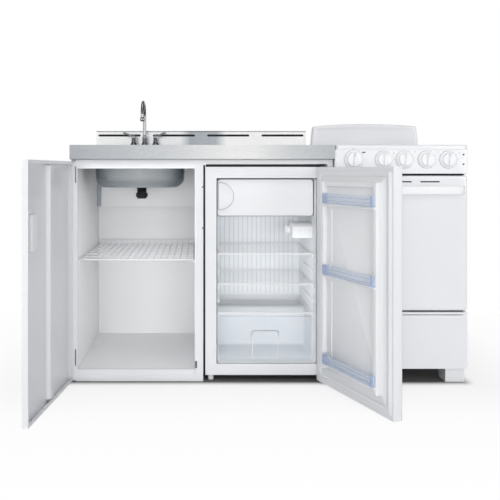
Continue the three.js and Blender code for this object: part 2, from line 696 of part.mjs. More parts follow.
function freezerBoxSolid() {
  const { bottom, top, wall } = FREEZER;
  const front = FREEZER_PIVOT.y + 11;
  const back = CAVITY.back - 5;
  const outer = box(SHELF_LEFT, SHELF_RIGHT, front, back, bottom, top);
  const inner = box(SHELF_LEFT + wall, SHELF_RIGHT - wall, front - 1, back - wall, bottom + wall, top - wall);
  return cut(outer, inner);
}

// Drawn from its pivot line, with a D-shaped grip at the free end.
function freezerDoorSolid() {
  const { bottom, top, doorT } = FREEZER;
  const left = SHELF_LEFT - FREEZER_PIVOT.x;
  const right = 6;
  const half = doorT / 2;
  const slab = box(left, right, -half, half, bottom + 1, top - 1);
  const grip = new THREE.Shape();
  const gripR = 50;
  grip.moveTo(left + 4, bottom + 29);
  grip.lineTo(left + 26, bottom + 29);
  grip.absarc(left + 26, bottom + 29 + gripR, gripR, -Math.PI / 2, Math.PI / 2, false);
  grip.lineTo(left + 4, bottom + 29 + 2 * gripR);
  const pad = prism(grip, "y", -half - 8, -half + 1, 6);
  return join(slab, pad);
}

function thermostatHousingSolid() {
  const right = CAVITY.right - GAP * 2 - LINER_T;
  const outline = [[-200, 546], [-60, 546], [-60, 603], [-180, 603], [-200, 590]];
  return prism(outline, "x", right - 80, right);
}

const THERMOSTAT = { y: -130, z: 575 };

// A ribbed dial on the left end of its housing; its axis runs along X.
function thermostatKnobSolid() {
  const profile = [[0, 0], [18, 0], [18, 9], [15, 13], [0, 13]];
  const dial = turned(profile, 18).rotate([0, -90, 0]);
  const ridge = box(-19, -12, -3, 3, -15, 15);
  return join(dial, ridge);
}

function compressorSolid() {
  const z0 = BAY.floor + GAP;
  const lower = [[0, 8], [58, 14], [66, 30], [68, 70]];
  const upper = [[66, 105], [50, 132], [20, 142], [0, 144]];
  const can = turned([...lower, ...upper].map(([r, h]) => [r, z0 + h]), 16);
  const plate = box(-95, 95, -40, 40, z0 + 6, z0 + 12);
  const grommets = [-80, 80].flatMap((x) => [-28, 28].map((y) => cylinder(x, y, z0, z0 + 8, 10, 8)));
  return join(can, plate, grommets).translate([COMPRESSOR.x, COMPRESSOR.y, 0]);
}

// ---------------------------------------------------------------- refrigerator door

// Drawn closed, from the pivot line. along() turns a distance from the hinge into x.
const along = (s) => -s;
const DOOR_FREE = FRIDGE_PIVOT.x - FRIDGE.left;
const DOOR_HINGE = FRIDGE_PIVOT.x - FRIDGE.right;
const DOOR_HALF = FRIDGE_DOOR.thick / 2;

function fridgeDoorSolid() {
  const { bottom, top } = FRIDGE_DOOR;
  const shape = new THREE.Shape();
  const edge = 5;
  shape.moveTo(along(DOOR_FREE), DOOR_HALF);
  shape.lineTo(along(DOOR_FREE), -DOOR_HALF + edge);
  shape.absarc(along(DOOR_FREE) + edge, -DOOR_HALF + edge, edge, Math.PI, Math.PI * 1.5, false);
  shape.lineTo(along(DOOR_HINGE) - edge, -DOOR_HALF);
  shape.absarc(along(DOOR_HINGE) - edge, -DOOR_HALF + edge, edge, -Math.PI / 2, 0, false);
  shape.lineTo(along(DOOR_HINGE), DOOR_HALF);
  const slab = prism(shape, "z", bottom, top);
  const pins = [cylinder(0, 0, bottom - 1, bottom + 15, 4.5, 12), cylinder(0, 0, top - 15, top + 1, 4.5, 12)];
  return cut(slab, pins);
}

const LINER_IN = DOOR_HALF + GAP;
const DYKE = { hinge: [40, 64], hingeOut: 38, free: [374, 398], out: 45, bottom: 74, top: 778 };

// The moulded inner face: a plate, an upright at each side, a bar at the top and a ledge for each rack.
function doorLinerSolid() {
  const plate = box(along(DOOR_FREE - 8), along(DOOR_HINGE + 22), LINER_IN, LINER_IN + 3, 22, 815);
  const upright = ([s0, s1], out) => {
    const foot = [[along(s1) - 4, LINER_IN + 2], [along(s0) + 4, LINER_IN + 2]];
    return prism([...foot, [along(s0), out], [along(s1), out]], "z", DYKE.bottom, DYKE.top);
  };
  const s0 = DYKE.hinge[0] + 4;
  const s1 = DYKE.free[1] - 4;
  const topBar = box(along(s1), along(s0), LINER_IN + 2, DYKE.hingeOut - 4, DYKE.top - 22, DYKE.top);
  const ledges = RACKS.map(({ z }) =>
    box(along(s1), along(DYKE.hinge[1] + 2), LINER_IN + 2, DYKE.out + 4, z - 10, z - GAP),
  );
  return join(plate, upright(DYKE.hinge, DYKE.hingeOut), upright(DYKE.free, DYKE.out), topBar, ledges);
}

// The magnetic seal: a square-section frame round the liner.
function gasketSolid() {
  const from = LINER_IN + 3 + GAP;
  const to = FRIDGE.front - FRIDGE_PIVOT.y - 0.5;
  const frame = (s0, s1, z0, z1) => box(along(s1), along(s0), from, to, z0, z1);
  const outer = frame(9, 442, 34, 812);
  return cut(outer, box(along(428), along(23), from - 1, to + 1, 50, 797));
}

// A clear guard that stands on one ledge of the door, with a foot and a block at each end.
function rackSolid(z) {
  const { from, to, height, reach, wall } = RACK;
  const top = z + height;
  const clear = DYKE.out + GAP;
  return join(
    box(along(to), along(from), reach - wall, reach, z, top),
    box(along(DYKE.free[0] - 4), along(from), 30, reach, z, z + wall),
    box(along(to), along(DYKE.free[0] - 5), clear, reach, z, z + wall),
    box(along(from + wall), along(from), LINER_IN + 3 + GAP, reach, z, top),
    box(along(from + 38), along(from), reach - 5, reach, z, top),
    box(along(to), along(to - 16), clear, reach, z, top),
  );
}

// A plate with the pin that the refrigerator door turns on; the lower one hangs from a web.
function fridgeHingeSolids() {
  const { x, y } = FRIDGE_PIVOT;
  const shellTop = FRIDGE.top + GAP;
  const upper = join(
    box(x - 11, x + 15, y - 11, FRIDGE.front + 40, shellTop, shellTop + 3),
    cylinder(x, y, FRIDGE_DOOR.top - 12, shellTop + 1, 4, 12),
  );
  const webY = FRIDGE.front + 4;
  const lower = join(
    box(x - 11, x + 15, y - 11, webY, 3, 6),
    box(x - 11, x + 15, webY - 4, webY, 3, FRIDGE.bottom - GAP),
    cylinder(x, y, 4, FRIDGE_DOOR.bottom + 12, 4, 12),
  );
  return { upper, lower };
}

function addFridge() {
  addPart("fridge_shell", fridgeShellSolid(), enamel);
  addPart("fridge_liner", linerSolid(), liner);
  addPart("fridge_shelf_upper", glassShelfSolid(SHELF_LEVELS[4]), glass);
  addPart("fridge_shelf_lower", glassShelfSolid(SHELF_LEVELS[2]), glass);
  addPart("crisper_cover", glassShelfSolid(SHELF_LEVELS[0]), glass);
  addPart("crisper_drawer", drawerSolid(), clearPlastic);
  addPart("freezer_box", freezerBoxSolid(), liner);
  const freezerDoor = new THREE.Group();
  freezerDoor.position.set(FREEZER_PIVOT.x, FREEZER_PIVOT.y, 0);
  kitchenette.add(freezerDoor);
  addPart("freezer_door", freezerDoorSolid(), liner, freezerDoor);
  addPart("thermostat_housing", thermostatHousingSolid(), whitePlastic);
  const knob = new THREE.Group();
  const housingLeft = CAVITY.right - GAP * 2 - LINER_T - 80;
  knob.position.set(housingLeft - GAP, THERMOSTAT.y, THERMOSTAT.z);
  kitchenette.add(knob);
  addPart("thermostat_knob", thermostatKnobSolid(), whitePlastic, knob);
  addPart("compressor", compressorSolid(), blackSteel);
  const hinges = fridgeHingeSolids();
  addPart("fridge_hinge_top", hinges.upper, zincSteel);
  addPart("fridge_hinge_bottom", hinges.lower, zincSteel);
}

function addFridgeDoor() {
  const door = new THREE.Group();
  door.position.set(FRIDGE_PIVOT.x, FRIDGE_PIVOT.y, 0);
  door.rotation.z = THREE.MathUtils.degToRad(FRIDGE_DOOR.restDeg);
  kitchenette.add(door);
  addPart("fridge_door_panel", fridgeDoorSolid(), enamel, door);
  addPart("fridge_door_liner", doorLinerSolid(), liner, door);
  addPart("fridge_door_gasket", gasketSolid(), rubber, door);
  for (const { name, z } of RACKS) addPart(`door_rack_${name}`, rackSolid(z), bluePlastic, door);
}

addFridge();
addFridgeDoor();

// ---------------------------------------------------------------- range

const RANGE_MID = (RANGE.left + RANGE.right) / 2;
const WALL = 12;

// Sides, back, floor and a shelf under the oven, standing on four leg blocks.
function rangeBodySolid() {
  const { left, right, back, bottom } = RANGE;
  const front = RANGE_BODY_FRONT;
  const top = PANEL.top - GAP;
  const legs = [left + 4, right - 4 - LEG].flatMap((x) =>
    [front, back - LEG].map((y) => box(x, x + LEG, y, y + LEG, 0, bottom + 1)),
  );
  return join(
    box(left, left + WALL, front, back, bottom, top),
    box(right - WALL, right, front, back, bottom, top),
    box(left, right, back - WALL, back, bottom, top),
    box(left, right, front, back, bottom, bottom + 4),
    box(left, right, front, back, DRAWER_FRONT.top + 3, DRAWER_FRONT.top + 6),
    legs,
  );
}

// The enamelled oven box with its picture-frame front flange and four rack ledges.
function ovenCavitySolid() {
  const { left, right, bottom, top, back, wall } = OVEN;
  const front = RANGE_BODY_FRONT + 1;
  const flangeLeft = RANGE.left + WALL + GAP;
  const flangeRight = RANGE.right - WALL - GAP;
  const body = join(
    box(left - wall, right + wall, front, back + wall, bottom - wall, top + wall),
    box(flangeLeft, flangeRight, front, front + wall, OVEN_DOOR.bottom + 4, PANEL.bottom + 10),
  );
  const ledges = [420, 560].flatMap((z) => [
    box(left - 1, left + 14, front + 20, back - 4, z, z + 6),
    box(right - 14, right + 1, front + 20, back - 4, z, z + 6),
  ]);
  return join(cut(body, box(left, right, front - 1, back, bottom, top)), ledges);
}

function ovenRackSolid() {
  const z = 566 + GAP;
  const rod = 5;
  return grille(OVEN.left + 3, OVEN.right - 3, RANGE_BODY_FRONT + 22, OVEN.back - 8, z, z + rod, rod, 11, 2);
}

// The hob plate, with a round recess and three supports for each heating coil.
function cooktopSolid() {
  const slab = box(RANGE.left, RANGE.right, RANGE.front, RANGE.back, PANEL.top, COUNTER_TOP);
  const wells = Object.values(BURNERS).map(({ x, y, r }) =>
    cylinder(x, y, COIL.recess, COUNTER_TOP + 1, r + COIL.margin, 24),
  );
  const supports = Object.values(BURNERS).flatMap(({ x, y, r }) =>
    range(3).map((i) =>
      box(12, r + COIL.margin + 1, -1.5, 1.5, COIL.recess - 1, COIL.z - COIL.tube - GAP)
        .rotate([0, 0, 90 + i * 120])
        .translate([x, y, 0]),
    ),
  );
  return join(cut(slab, wells), supports);
}

// A heating tube wound in one flat spiral, from its inner end out to its rim.
class Spiral extends THREE.Curve {
  constructor(inner, outer, turns, z) {
    super();
    Object.assign(this, { inner, outer, turns, z });
  }
  getPoint(t, target = new THREE.Vector3()) {
    const angle = t * this.turns * Math.PI * 2;
    const r = this.inner + (this.outer - this.inner) * t;
    return target.set(r * Math.cos(angle), r * Math.sin(angle), this.z);
  }
}

const STEPS_PER_TURN = 16;

function coilSolid({ r, turns }) {
  const spiral = new Spiral(COIL.inner, r - COIL.tube, turns, COIL.z);
  spiral.arcLengthDivisions = 400;
  return tube(spiral, COIL.tube, Math.round(turns * STEPS_PER_TURN), 6);
}

// The raised back with its bowed top edge.
function backguardSolid() {
  const { front, deep, corner, bow, cornerR, taper } = BACKGUARD;
  const half = (RANGE.right - RANGE.left) / 2 - 2;
  const topHalf = half - taper;
  const shoulder = topHalf - cornerR;
  const z0 = COUNTER_TOP + GAP;
  const shape = new THREE.Shape();
  shape.moveTo(RANGE_MID - half, z0);
  shape.lineTo(RANGE_MID + half, z0);
  shape.lineTo(RANGE_MID + topHalf, corner - cornerR);
  shape.quadraticCurveTo(RANGE_MID + topHalf, corner, RANGE_MID + shoulder, corner + 1);
  shape.quadraticCurveTo(RANGE_MID, 2 * bow - corner - 1, RANGE_MID - shoulder, corner + 1);
  shape.quadraticCurveTo(RANGE_MID - topHalf, corner, RANGE_MID - topHalf, corner - cornerR);
  return prism(shape, "y", front, front + deep, 8);
}

function controlPanelSolid() {
  const { left, right, front } = RANGE;
  const panel = box(left, right, front, RANGE_BODY_FRONT - GAP, PANEL.bottom, PANEL.top - GAP);
  const holes = [OVEN_KNOB_X, ...Object.values(BURNER_KNOBS)].map((x) =>
    prism(circle(4.7), "y", front - 1, RANGE_BODY_FRONT + 1, 6).translate([x, 0, KNOB_Z]),
  );
  return cut(panel, holes);
}

// Drawn from its shaft's line: skirt, cap and a bar to grip, with the shaft behind.
function knobSolid(r) {
  const profile = [[0, -12], [3.9, -12], [3.9, GAP], [r, GAP], [r, 4], [r * 0.8, 9], [r * 0.76, 18], [0, 19]];
  const dial = turned(profile, 16).rotate([90, 0, 0]);
  return join(dial, box(-5, 5, -27, -15, -r * 0.72, r * 0.72));
}

function addKnob(name, x, r) {
  const knob = new THREE.Group();
  knob.position.set(x, RANGE.front, KNOB_Z);
  kitchenette.add(knob);
  addPart(name, knobSolid(r), whitePlastic, knob);
}

const DOOR_BACK = RANGE_BODY_FRONT - 2;

function ovenDoorSolid() {
  const door = box(RANGE.left + 2, RANGE.right - 2, RANGE.front, DOOR_BACK, OVEN_DOOR.bottom, OVEN_DOOR.top);
  const slots = [-1, 0, 1].map((side) => {
    const x = RANGE_MID + side * OVEN_SLOT.pitch;
    const outline = roundRect(x - OVEN_SLOT.half, x + OVEN_SLOT.half, OVEN_SLOT.bottom, OVEN_SLOT.top, 2.4);
    return prism(outline, "y", RANGE.front - 1, RANGE.front + OVEN_SLOT.deep, 1);
  });
  return cut(door, slots);
}

// A wide bar bowed away from the door, with both ends resting on it.
function ovenHandleSolid() {
  const { half, reach, thick, foot } = HANDLE;
  const y = RANGE.front - GAP;
  const shoulder = y - reach / 2; // where the bow starts, at each end
  const bow = shoulder - reach; // where the curve's control point lies
  const shape = new THREE.Shape();
  shape.moveTo(RANGE_MID - half, y);
  shape.quadraticCurveTo(RANGE_MID - half, y - 14, RANGE_MID - half + 24, shoulder);
  shape.quadraticCurveTo(RANGE_MID, bow, RANGE_MID + half - 24, shoulder);
  shape.quadraticCurveTo(RANGE_MID + half, y - 14, RANGE_MID + half, y);
  shape.lineTo(RANGE_MID + half - foot, y);
  shape.lineTo(RANGE_MID + half - foot, shoulder + thick);
  shape.quadraticCurveTo(RANGE_MID, bow + 2 * thick, RANGE_MID - half + foot, shoulder + thick);
  shape.lineTo(RANGE_MID - half + foot, y);
  return prism(shape, "z", HANDLE.bottom, HANDLE.top, 10);
}

// The drawer's front panel with the steel tray behind it.
function storageDrawerSolid() {
  const { bottom, top } = DRAWER_FRONT;
  const front = box(RANGE.left + 2, RANGE.right - 2, RANGE.front, DOOR_BACK, bottom, top);
  const x0 = RANGE.left + 30;
  const x1 = RANGE.right - 30;
  const tray = cut(
    box(x0, x1, DOOR_BACK - 1, 200, 66, 220),
    box(x0 + 2, x1 - 2, DOOR_BACK, 198, 68, 221),
  );
  return join(front, tray);
}

function addRange() {
  addPart("range_body", rangeBodySolid(), enamel);
  addPart("oven_cavity", ovenCavitySolid(), blackSteel);
  addPart("oven_rack", ovenRackSolid(), zincSteel);
  addPart("range_cooktop", cooktopSolid(), enamel);
  addPart("range_backguard", backguardSolid(), enamel);
  addPart("range_control_panel", controlPanelSolid(), enamel);
  addPart("oven_door", ovenDoorSolid(), enamel);
  addPart("oven_door_handle", ovenHandleSolid(), whitePlastic);
  addPart("storage_drawer", storageDrawerSolid(), enamel);
  addKnob("oven_knob", OVEN_KNOB_X, 36);
  for (const [name, x] of Object.entries(BURNER_KNOBS)) addKnob(name, x, 33);
  for (const [name, burner] of Object.entries(BURNERS)) {
    const coil = new THREE.Group();
    coil.position.set(burner.x, burner.y, 0);
    kitchenette.add(coil);
    addPart(name, coilSolid(burner), elementBlack, coil);
  }
}

addRange();

export default kitchenette;
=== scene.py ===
"""A kitchenette with sink and refrigerator, and the electric range beside it, dressed for rendering."""
import json
import math

import bmesh
import bpy
from mathutils import Matrix, Vector

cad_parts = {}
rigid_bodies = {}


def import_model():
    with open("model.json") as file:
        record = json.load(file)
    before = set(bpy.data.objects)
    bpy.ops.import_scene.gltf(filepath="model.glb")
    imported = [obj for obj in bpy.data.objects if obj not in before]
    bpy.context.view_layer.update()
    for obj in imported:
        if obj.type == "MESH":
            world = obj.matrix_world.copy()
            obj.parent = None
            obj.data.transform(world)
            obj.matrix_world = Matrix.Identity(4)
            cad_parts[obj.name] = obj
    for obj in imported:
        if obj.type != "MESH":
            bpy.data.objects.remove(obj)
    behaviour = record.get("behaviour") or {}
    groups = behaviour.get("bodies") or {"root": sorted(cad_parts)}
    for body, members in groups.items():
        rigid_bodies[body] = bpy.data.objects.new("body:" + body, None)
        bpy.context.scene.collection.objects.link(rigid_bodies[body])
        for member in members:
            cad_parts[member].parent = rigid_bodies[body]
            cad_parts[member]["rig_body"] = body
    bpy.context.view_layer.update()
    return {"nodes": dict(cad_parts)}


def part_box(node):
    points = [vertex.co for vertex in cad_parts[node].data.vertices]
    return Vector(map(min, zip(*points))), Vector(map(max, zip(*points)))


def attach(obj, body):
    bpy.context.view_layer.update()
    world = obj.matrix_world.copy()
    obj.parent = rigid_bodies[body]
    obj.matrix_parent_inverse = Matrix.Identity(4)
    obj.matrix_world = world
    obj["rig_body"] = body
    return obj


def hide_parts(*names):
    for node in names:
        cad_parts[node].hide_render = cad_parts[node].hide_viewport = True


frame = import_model()
NODES = frame["nodes"]
MM = 0.001

# ---------------------------------------------------------------- shader nodes


def add_node(owner, kind, feeds=None, constants=None, **settings):
    """Adds a node to a material or world: its settings, its constants, and what feeds its sockets."""
    tree = owner.node_tree
    node = tree.nodes.new("ShaderNode" + kind)
    for key, value in settings.items():
        setattr(node, key, value)
    for key, value in (constants or {}).items():
        node.inputs[key].default_value = value
    for key, socket in (feeds or {}).items():
        tree.links.new(socket, node.inputs[key])
    return node


def drive(material, value, socket):
    material.node_tree.links.new(value, material.node_tree.nodes["Principled BSDF"].inputs[socket])


def ramp(owner, value, stops):
    """Colours (or greys) along a value."""
    node = add_node(owner, "ValToRGB", {"Fac": value})
    elements = node.color_ramp.elements
    while len(elements) < len(stops):
        elements.new(0.5)
    for element, (position, color) in zip(elements, stops):
        element.position = position
        element.color = (*color, 1) if isinstance(color, tuple) else (color, color, color, 1)
    return node.outputs["Color"]


def combined(owner, operation, *values):
    return add_node(owner, "Math", dict(enumerate(values)), operation=operation).outputs[0]


def coordinates(material, stretch=(1, 1, 1)):
    """Object-space position, stretched so that a noise becomes grain or streaks."""
    place = add_node(material, "TexCoord").outputs["Object"]
    return add_node(material, "Mapping", {"Vector": place}, {"Scale": stretch}).outputs["Vector"]


def noise(material, scale, detail=3.0, stretch=(1, 1, 1)):
    return add_node(material, "TexNoise", {"Vector": coordinates(material, stretch)},
                    {"Scale": scale, "Detail": detail}).outputs["Fac"]


def bump(material, height, strength, distance=0.001):
    made = add_node(material, "Bump", {"Height": height}, {"Strength": strength, "Distance": distance})
    drive(material, made.outputs["Normal"], "Normal")


# ---------------------------------------------------------------- kinds of material


def tone(red, green, blue):
    """A linear colour from one written as 0 to 255."""
    return tuple(((c / 255 + 0.055) / 1.055) ** 2.4 if c > 10 else c / 255 / 12.92 for c in (red, green, blue))


def shades(color, spread):
    return [(0.3, tuple(c * (1 - spread) for c in color)), (0.7, tuple(min(1, c * (1 + spread)) for c in color))]


def principled(name, color, roughness, metallic=0.0, coat=0.0, alpha=1.0, ior=1.45):
    material = bpy.data.materials.new(name)
    material.use_nodes = True
    shader = material.node_tree.nodes["Principled BSDF"]
    for socket, value in {"Base Color": (*color, 1), "Roughness": roughness, "Metallic": metallic,
                          "Coat Weight": coat, "Alpha": alpha, "IOR": ior}.items():
        shader.inputs[socket].default_value = value
    return material


def enamel(name, color, roughness=0.28, coat=0.35, peel=0.05):
    """Baked paint: a faint orange peel, slight shifts of tone and polish."""
    material = principled(name, color, roughness, coat=coat)
    drive(material, ramp(material, noise(material, 2.2), shades(color, 0.012)), "Base Color")
    polish = ramp(material, noise(material, 3), [(0.2, roughness * 0.93), (0.8, roughness * 1.1)])
    drive(material, polish, "Roughness")
    bump(material, noise(material, 260, 1), peel, 0.0006)
    return material


def moulded(name, color, roughness=0.4, grain=0.06):
    """Injection-moulded plastic with a fine grain."""
    material = principled(name, color, roughness)
    drive(material, ramp(material, noise(material, 4), shades(color, 0.015)), "Base Color")
    bump(material, noise(material, 700, 2), grain, 0.0004)
    return material


def brushed(name, color, roughness, streaks=(1, 1, 1), stops=None, span=None):
    """Brushed steel: fine lines along one direction and, where stops are given, a painted band of highlight and shade
    along X, over its span in metres.
    """
    material = principled(name, color, roughness, metallic=1.0)
    lines = noise(material, 90, 4, streaks)
    drive(material, ramp(material, lines, [(0.3, roughness * 0.75), (0.7, roughness * 1.35)]), "Roughness")
    # painted highlight and shade: the base colour grows brighter and darker along X
    if stops:
        split = add_node(material, "SeparateXYZ", {0: coordinates(material)})
        along = add_node(material, "MapRange", {"Value": split.outputs["X"]},
                         {"From Min": span[0], "From Max": span[1]})
        band = ramp(material, along.outputs["Result"], stops)
    else:
        band = ramp(material, noise(material, 1.5), shades(color, 0.03))
    fine = ramp(material, lines, [(0.25, 0.93), (0.75, 1.0)])
    mixed = add_node(material, "Mix", {"A": band, "B": fine}, {"Factor": 1.0},
                     data_type="RGBA", blend_type="MULTIPLY")
    drive(material, mixed.outputs["Result"], "Base Color")
    bump(material, lines, 0.12, 0.0002)
    return material


def glassy(name, color, roughness, spread, scale, grain, alpha=1.0, coat=0.0):
    """Clear or tinted plastic and glass, with a slight shift of tone and a fine unevenness."""
    material = principled(name, color, roughness, coat=coat, alpha=alpha)
    drive(material, ramp(material, noise(material, scale / 4), shades(color, spread)), "Base Color")
    bump(material, noise(material, scale, 2), grain)
    return material


# ---------------------------------------------------------------- camera, light and stage

APRON_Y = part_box("countertop")[0].y
CAMERA_DISTANCE = 2.6  # from the counter's front edge
CAMERA_X, CAMERA_Z = -0.024, 0.818
SENSOR = 36.0
PHOTO_PX = 500
METRES_PER_PX = 0.003824  # at the counter's front edge
HORIZON_PX = (196, 170)  # where lines that run straight back meet in the photograph
AMBIENT = 0.3  # the world's strength as a light
# name: place, target, size, power, and whether metal mirrors it
LAMPS = {
    "fill": ((-0.1, -9.0, 0.55), (0.1, 0, 0.6), (5.2, 2.0), 330, False),
    "sky": ((-0.1, -3.4, 2.6), (0.1, 0, 0.4), (2.4, 1.2), 18, False),
    "left": ((-2.8, -3.2, 1.5), (0.0, 0, 0.5), (1.4, 1.4), 20, True),
    "right": ((2.8, -3.2, 1.3), (0.1, 0, 0.5), (1.4, 1.4), 24, True),
    "top": ((0.2, -0.8, 3.2), (0.2, 0, 0.5), (3.0, 2.0), 8, False),
    "rear": ((0.3, 5.0, 1.3), (0.2, 0, 0.5), (3.2, 1.6), 60, False),
    "fridge_card": ((0.25, -0.228, 0.31), (0.25, 0, 0.31), (0.37, 0.48), 0.33, False),
    "cabinet_card": ((-0.245, -0.3, 0.46), (-0.245, 0, 0.46), (0.43, 0.74), 0.36, False)}


def add_camera():
    data = bpy.data.cameras.new("camera")
    data.sensor_width = SENSOR
    data.lens = CAMERA_DISTANCE / METRES_PER_PX * SENSOR / PHOTO_PX
    data.shift_x = (PHOTO_PX / 2 - HORIZON_PX[0]) / PHOTO_PX
    data.shift_y = (HORIZON_PX[1] - PHOTO_PX / 2) / PHOTO_PX
    camera = bpy.data.objects.new("camera", data)
    camera.location = (CAMERA_X, APRON_Y - CAMERA_DISTANCE, CAMERA_Z)
    camera.rotation_euler = (math.radians(90), 0, 0)
    bpy.context.scene.collection.objects.link(camera)
    bpy.context.scene.camera = camera


def add_lamps():
    for name, (place, target, size, power, mirrored) in LAMPS.items():
        data = bpy.data.lights.new(name, "AREA")
        data.shape = "RECTANGLE"
        data.size, data.size_y = size
        data.energy = power
        lamp = bpy.data.objects.new(name, data)
        lamp.location = place
        lamp.rotation_euler = (Vector(target) - Vector(place)).to_track_quat("-Z", "Y").to_euler()
        lamp.visible_camera = False
        lamp.visible_glossy = mirrored
        bpy.context.scene.collection.objects.link(lamp)


def add_world():
    """Even light from all round. The camera sees plain white, and what mirrors it sees white with dark flags."""
    world = bpy.data.worlds.new("studio")
    bpy.context.scene.world = world
    world.use_nodes = True
    split = add_node(world, "SeparateXYZ", {0: add_node(world, "TexCoord").outputs["Generated"]}).outputs
    beside = ramp(world, combined(world, "ABSOLUTE", split["X"]),
                  ((0.0, 1.0), (0.3, 1.0), (0.42, 0.14), (0.82, 0.14), (0.92, 0.8), (1.0, 0.8)))
    above = ramp(world, split["Z"], ((0.0, 1.0), (0.3, 1.0), (0.4, 0.5), (0.8, 0.5), (0.9, 1.0), (1.0, 1.0)))
    behind = ramp(world, split["Y"], ((0.0, 1.0), (0.1, 1.0), (0.22, 0.5), (0.78, 0.5), (0.95, 1.0), (1.0, 1.0)))
    flags = combined(world, "MULTIPLY", combined(world, "MULTIPLY", beside, above), behind)
    rays = add_node(world, "LightPath").outputs
    level = None
    for ray, strength in (("Is Glossy Ray", flags), ("Is Transmission Ray", None), ("Is Camera Ray", None)):
        feeds = {"Value": rays[ray], "To Min": level, "To Max": strength}
        level = add_node(world, "MapRange", {key: value for key, value in feeds.items() if value},
                         {"To Min": AMBIENT, "To Max": 1.0}).outputs["Result"]
    background = world.node_tree.nodes["Background"]
    background.inputs["Color"].default_value = (1, 1, 1, 1)
    world.node_tree.links.new(level, background.inputs["Strength"])


def add_floor():
    """A pale floor that the camera sees as almost white, with the object's shadow kept, most of all beneath it, where a
    painted shadow also darkens the floor's colour.
    """
    bpy.ops.mesh.primitive_plane_add(size=30, location=(0, 0, 0))
    floor = bpy.context.object
    floor.name = "floor"
    material = principled("floor_white", (0.8, 0.8, 0.8), 0.9, ior=1.5)

    def vector(operation, value, second=None):
        constants = {} if second is None else {1: second}
        node = add_node(material, "VectorMath", {0: value}, constants, operation=operation)
        return node.outputs["Value" if operation == "LENGTH" else "Vector"]

    # how far a point of the floor is from the object's footprint
    place = add_node(material, "TexCoord").outputs["Object"]
    low, high = Vector((-0.5, -0.3, 0)), Vector((1.0, 0.3, 0))
    offset = vector("ABSOLUTE", vector("SUBTRACT", place, (low + high) / 2))
    distance = vector("LENGTH", vector("MAXIMUM", vector("SUBTRACT", offset, (high - low) / 2), (0, 0, 0)))
    # painted shadow: the floor's colour falls from 0.86 to 0.17 near and under the object's footprint
    drive(material, ramp(material, distance, [(0.0, 0.17), (0.036, 0.86)]), "Base Color")
    share = ramp(material, distance, [(0.0, 0.0), (0.05, 0.8), (0.4, 0.95), (1.0, 1.0)])
    seen = combined(material, "MULTIPLY", share, add_node(material, "LightPath").outputs["Is Camera Ray"])
    nodes, links = material.node_tree.nodes, material.node_tree.links
    mix = add_node(material, "MixShader", {0: seen, 1: nodes["Principled BSDF"].outputs[0],
                                           2: add_node(material, "Emission").outputs[0]})
    links.new(mix.outputs[0], nodes["Material Output"].inputs["Surface"])
    floor.data.materials.append(material)


bpy.context.scene.view_settings.view_transform = "Standard"
add_camera()
add_world()
add_floor()
add_lamps()

# ---------------------------------------------------------------- shapes, all in millimetres

BODY_OF = {name: node["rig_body"] for name, node in NODES.items()}
SLOT_OF = {name: node.data.materials[0].name.split(".")[0] for name, node in NODES.items()}


def mesh_of(bm, name, angle):
    """A mesh whose edges are sharp above an angle."""
    bmesh.ops.recalc_face_normals(bm, faces=bm.faces)
    for edge in bm.edges:
        edge.smooth = not (edge.is_manifold and edge.calc_face_angle(0) > math.radians(angle))
    for face in bm.faces:
        face.smooth = True
    mesh = bpy.data.meshes.new(name)
    bm.to_mesh(mesh)
    bm.free()
    return mesh


def add_piece(bm, name, material, node=None, body="unit", angle=40):
    """A piece that stands for a node, or a detail that rides on a body."""
    piece = bpy.data.objects.new(name, mesh_of(bm, name, angle))
    bpy.context.scene.collection.objects.link(piece)
    piece.data.materials.append(material)
    if node:
        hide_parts(node)
    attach(piece, BODY_OF[node] if node else body)
    return piece


def turned_about(pivot, degrees, axis="Z"):
    """From a piece's own coordinates, at a pivot, into the scene."""
    return Matrix.Translation(Vector(pivot) * MM) @ Matrix.Rotation(math.radians(degrees), 4, axis)


def plane_point(plane, u, v, w):
    """A point from in-plane coordinates u, v and height w: plane is XY, XZ or YZ."""
    return {"XY": (u, v, w), "XZ": (u, w, v), "YZ": (w, u, v)}[plane]


def circle(steps):
    return [2 * math.pi * i / steps for i in range(steps)]


def add_box(bm, x0, x1, y0, y1, z0, z1, edge=1.0, segments=2, place=None):
    """A box with rounded edges."""
    low, high = Vector((x0, y0, z0)), Vector((x1, y1, z1))
    corners = bmesh.ops.create_cube(bm, size=1)["verts"]
    for vertex in corners:
        vertex.co = ((low + high) / 2 + vertex.co * (high - low)) * MM
    edges = list({one for vertex in corners for one in vertex.link_edges})
    made = bmesh.ops.bevel(bm, geom=edges, offset=edge * MM, segments=segments, profile=0.6,
                           affect="EDGES", clamp_overlap=True)
    if place:
        bmesh.ops.transform(bm, matrix=place, verts=list({v for face in made["faces"] for v in face.verts}))


def add_boxes(name, material, rows, body="unit"):
    """A detail made of boxes alone."""
    bm = bmesh.new()
    for row in rows:
        add_box(bm, *row)
    add_piece(bm, name, material, body=body)


def rounded_outline(u0, u1, v0, v1, radius, steps=6):
    """A rectangle's outline with quarter-circle corners, anticlockwise."""
    points = []
    for cu, cv, start in ((u1 - radius, v1 - radius, 0), (u0 + radius, v1 - radius, 90),
                          (u0 + radius, v0 + radius, 180), (u1 - radius, v0 + radius, 270)):
        for step in range(steps + 1):
            angle = math.radians(start + 90 * step / steps)
            points.append((cu + radius * math.cos(angle), cv + radius * math.sin(angle)))
    return points


def add_loops(bm, rings, closed=False, open_end=False, place=Matrix()):
    """Joins rings of equally many points into a skin. Where closed, the last ring joins the first, as in a frame."""
    made = [[bm.verts.new(place @ (Vector(point) * MM)) for point in ring] for ring in rings]
    for below, above in zip(made, [*made[1:], made[0]] if closed else made[1:]):
        for i in range(len(below)):
            j = (i + 1) % len(below)
            bm.faces.new((below[i], below[j], above[j], above[i]))
    if not closed:
        bm.faces.new(list(reversed(made[0])))
        if not open_end:
            bm.faces.new(made[-1])


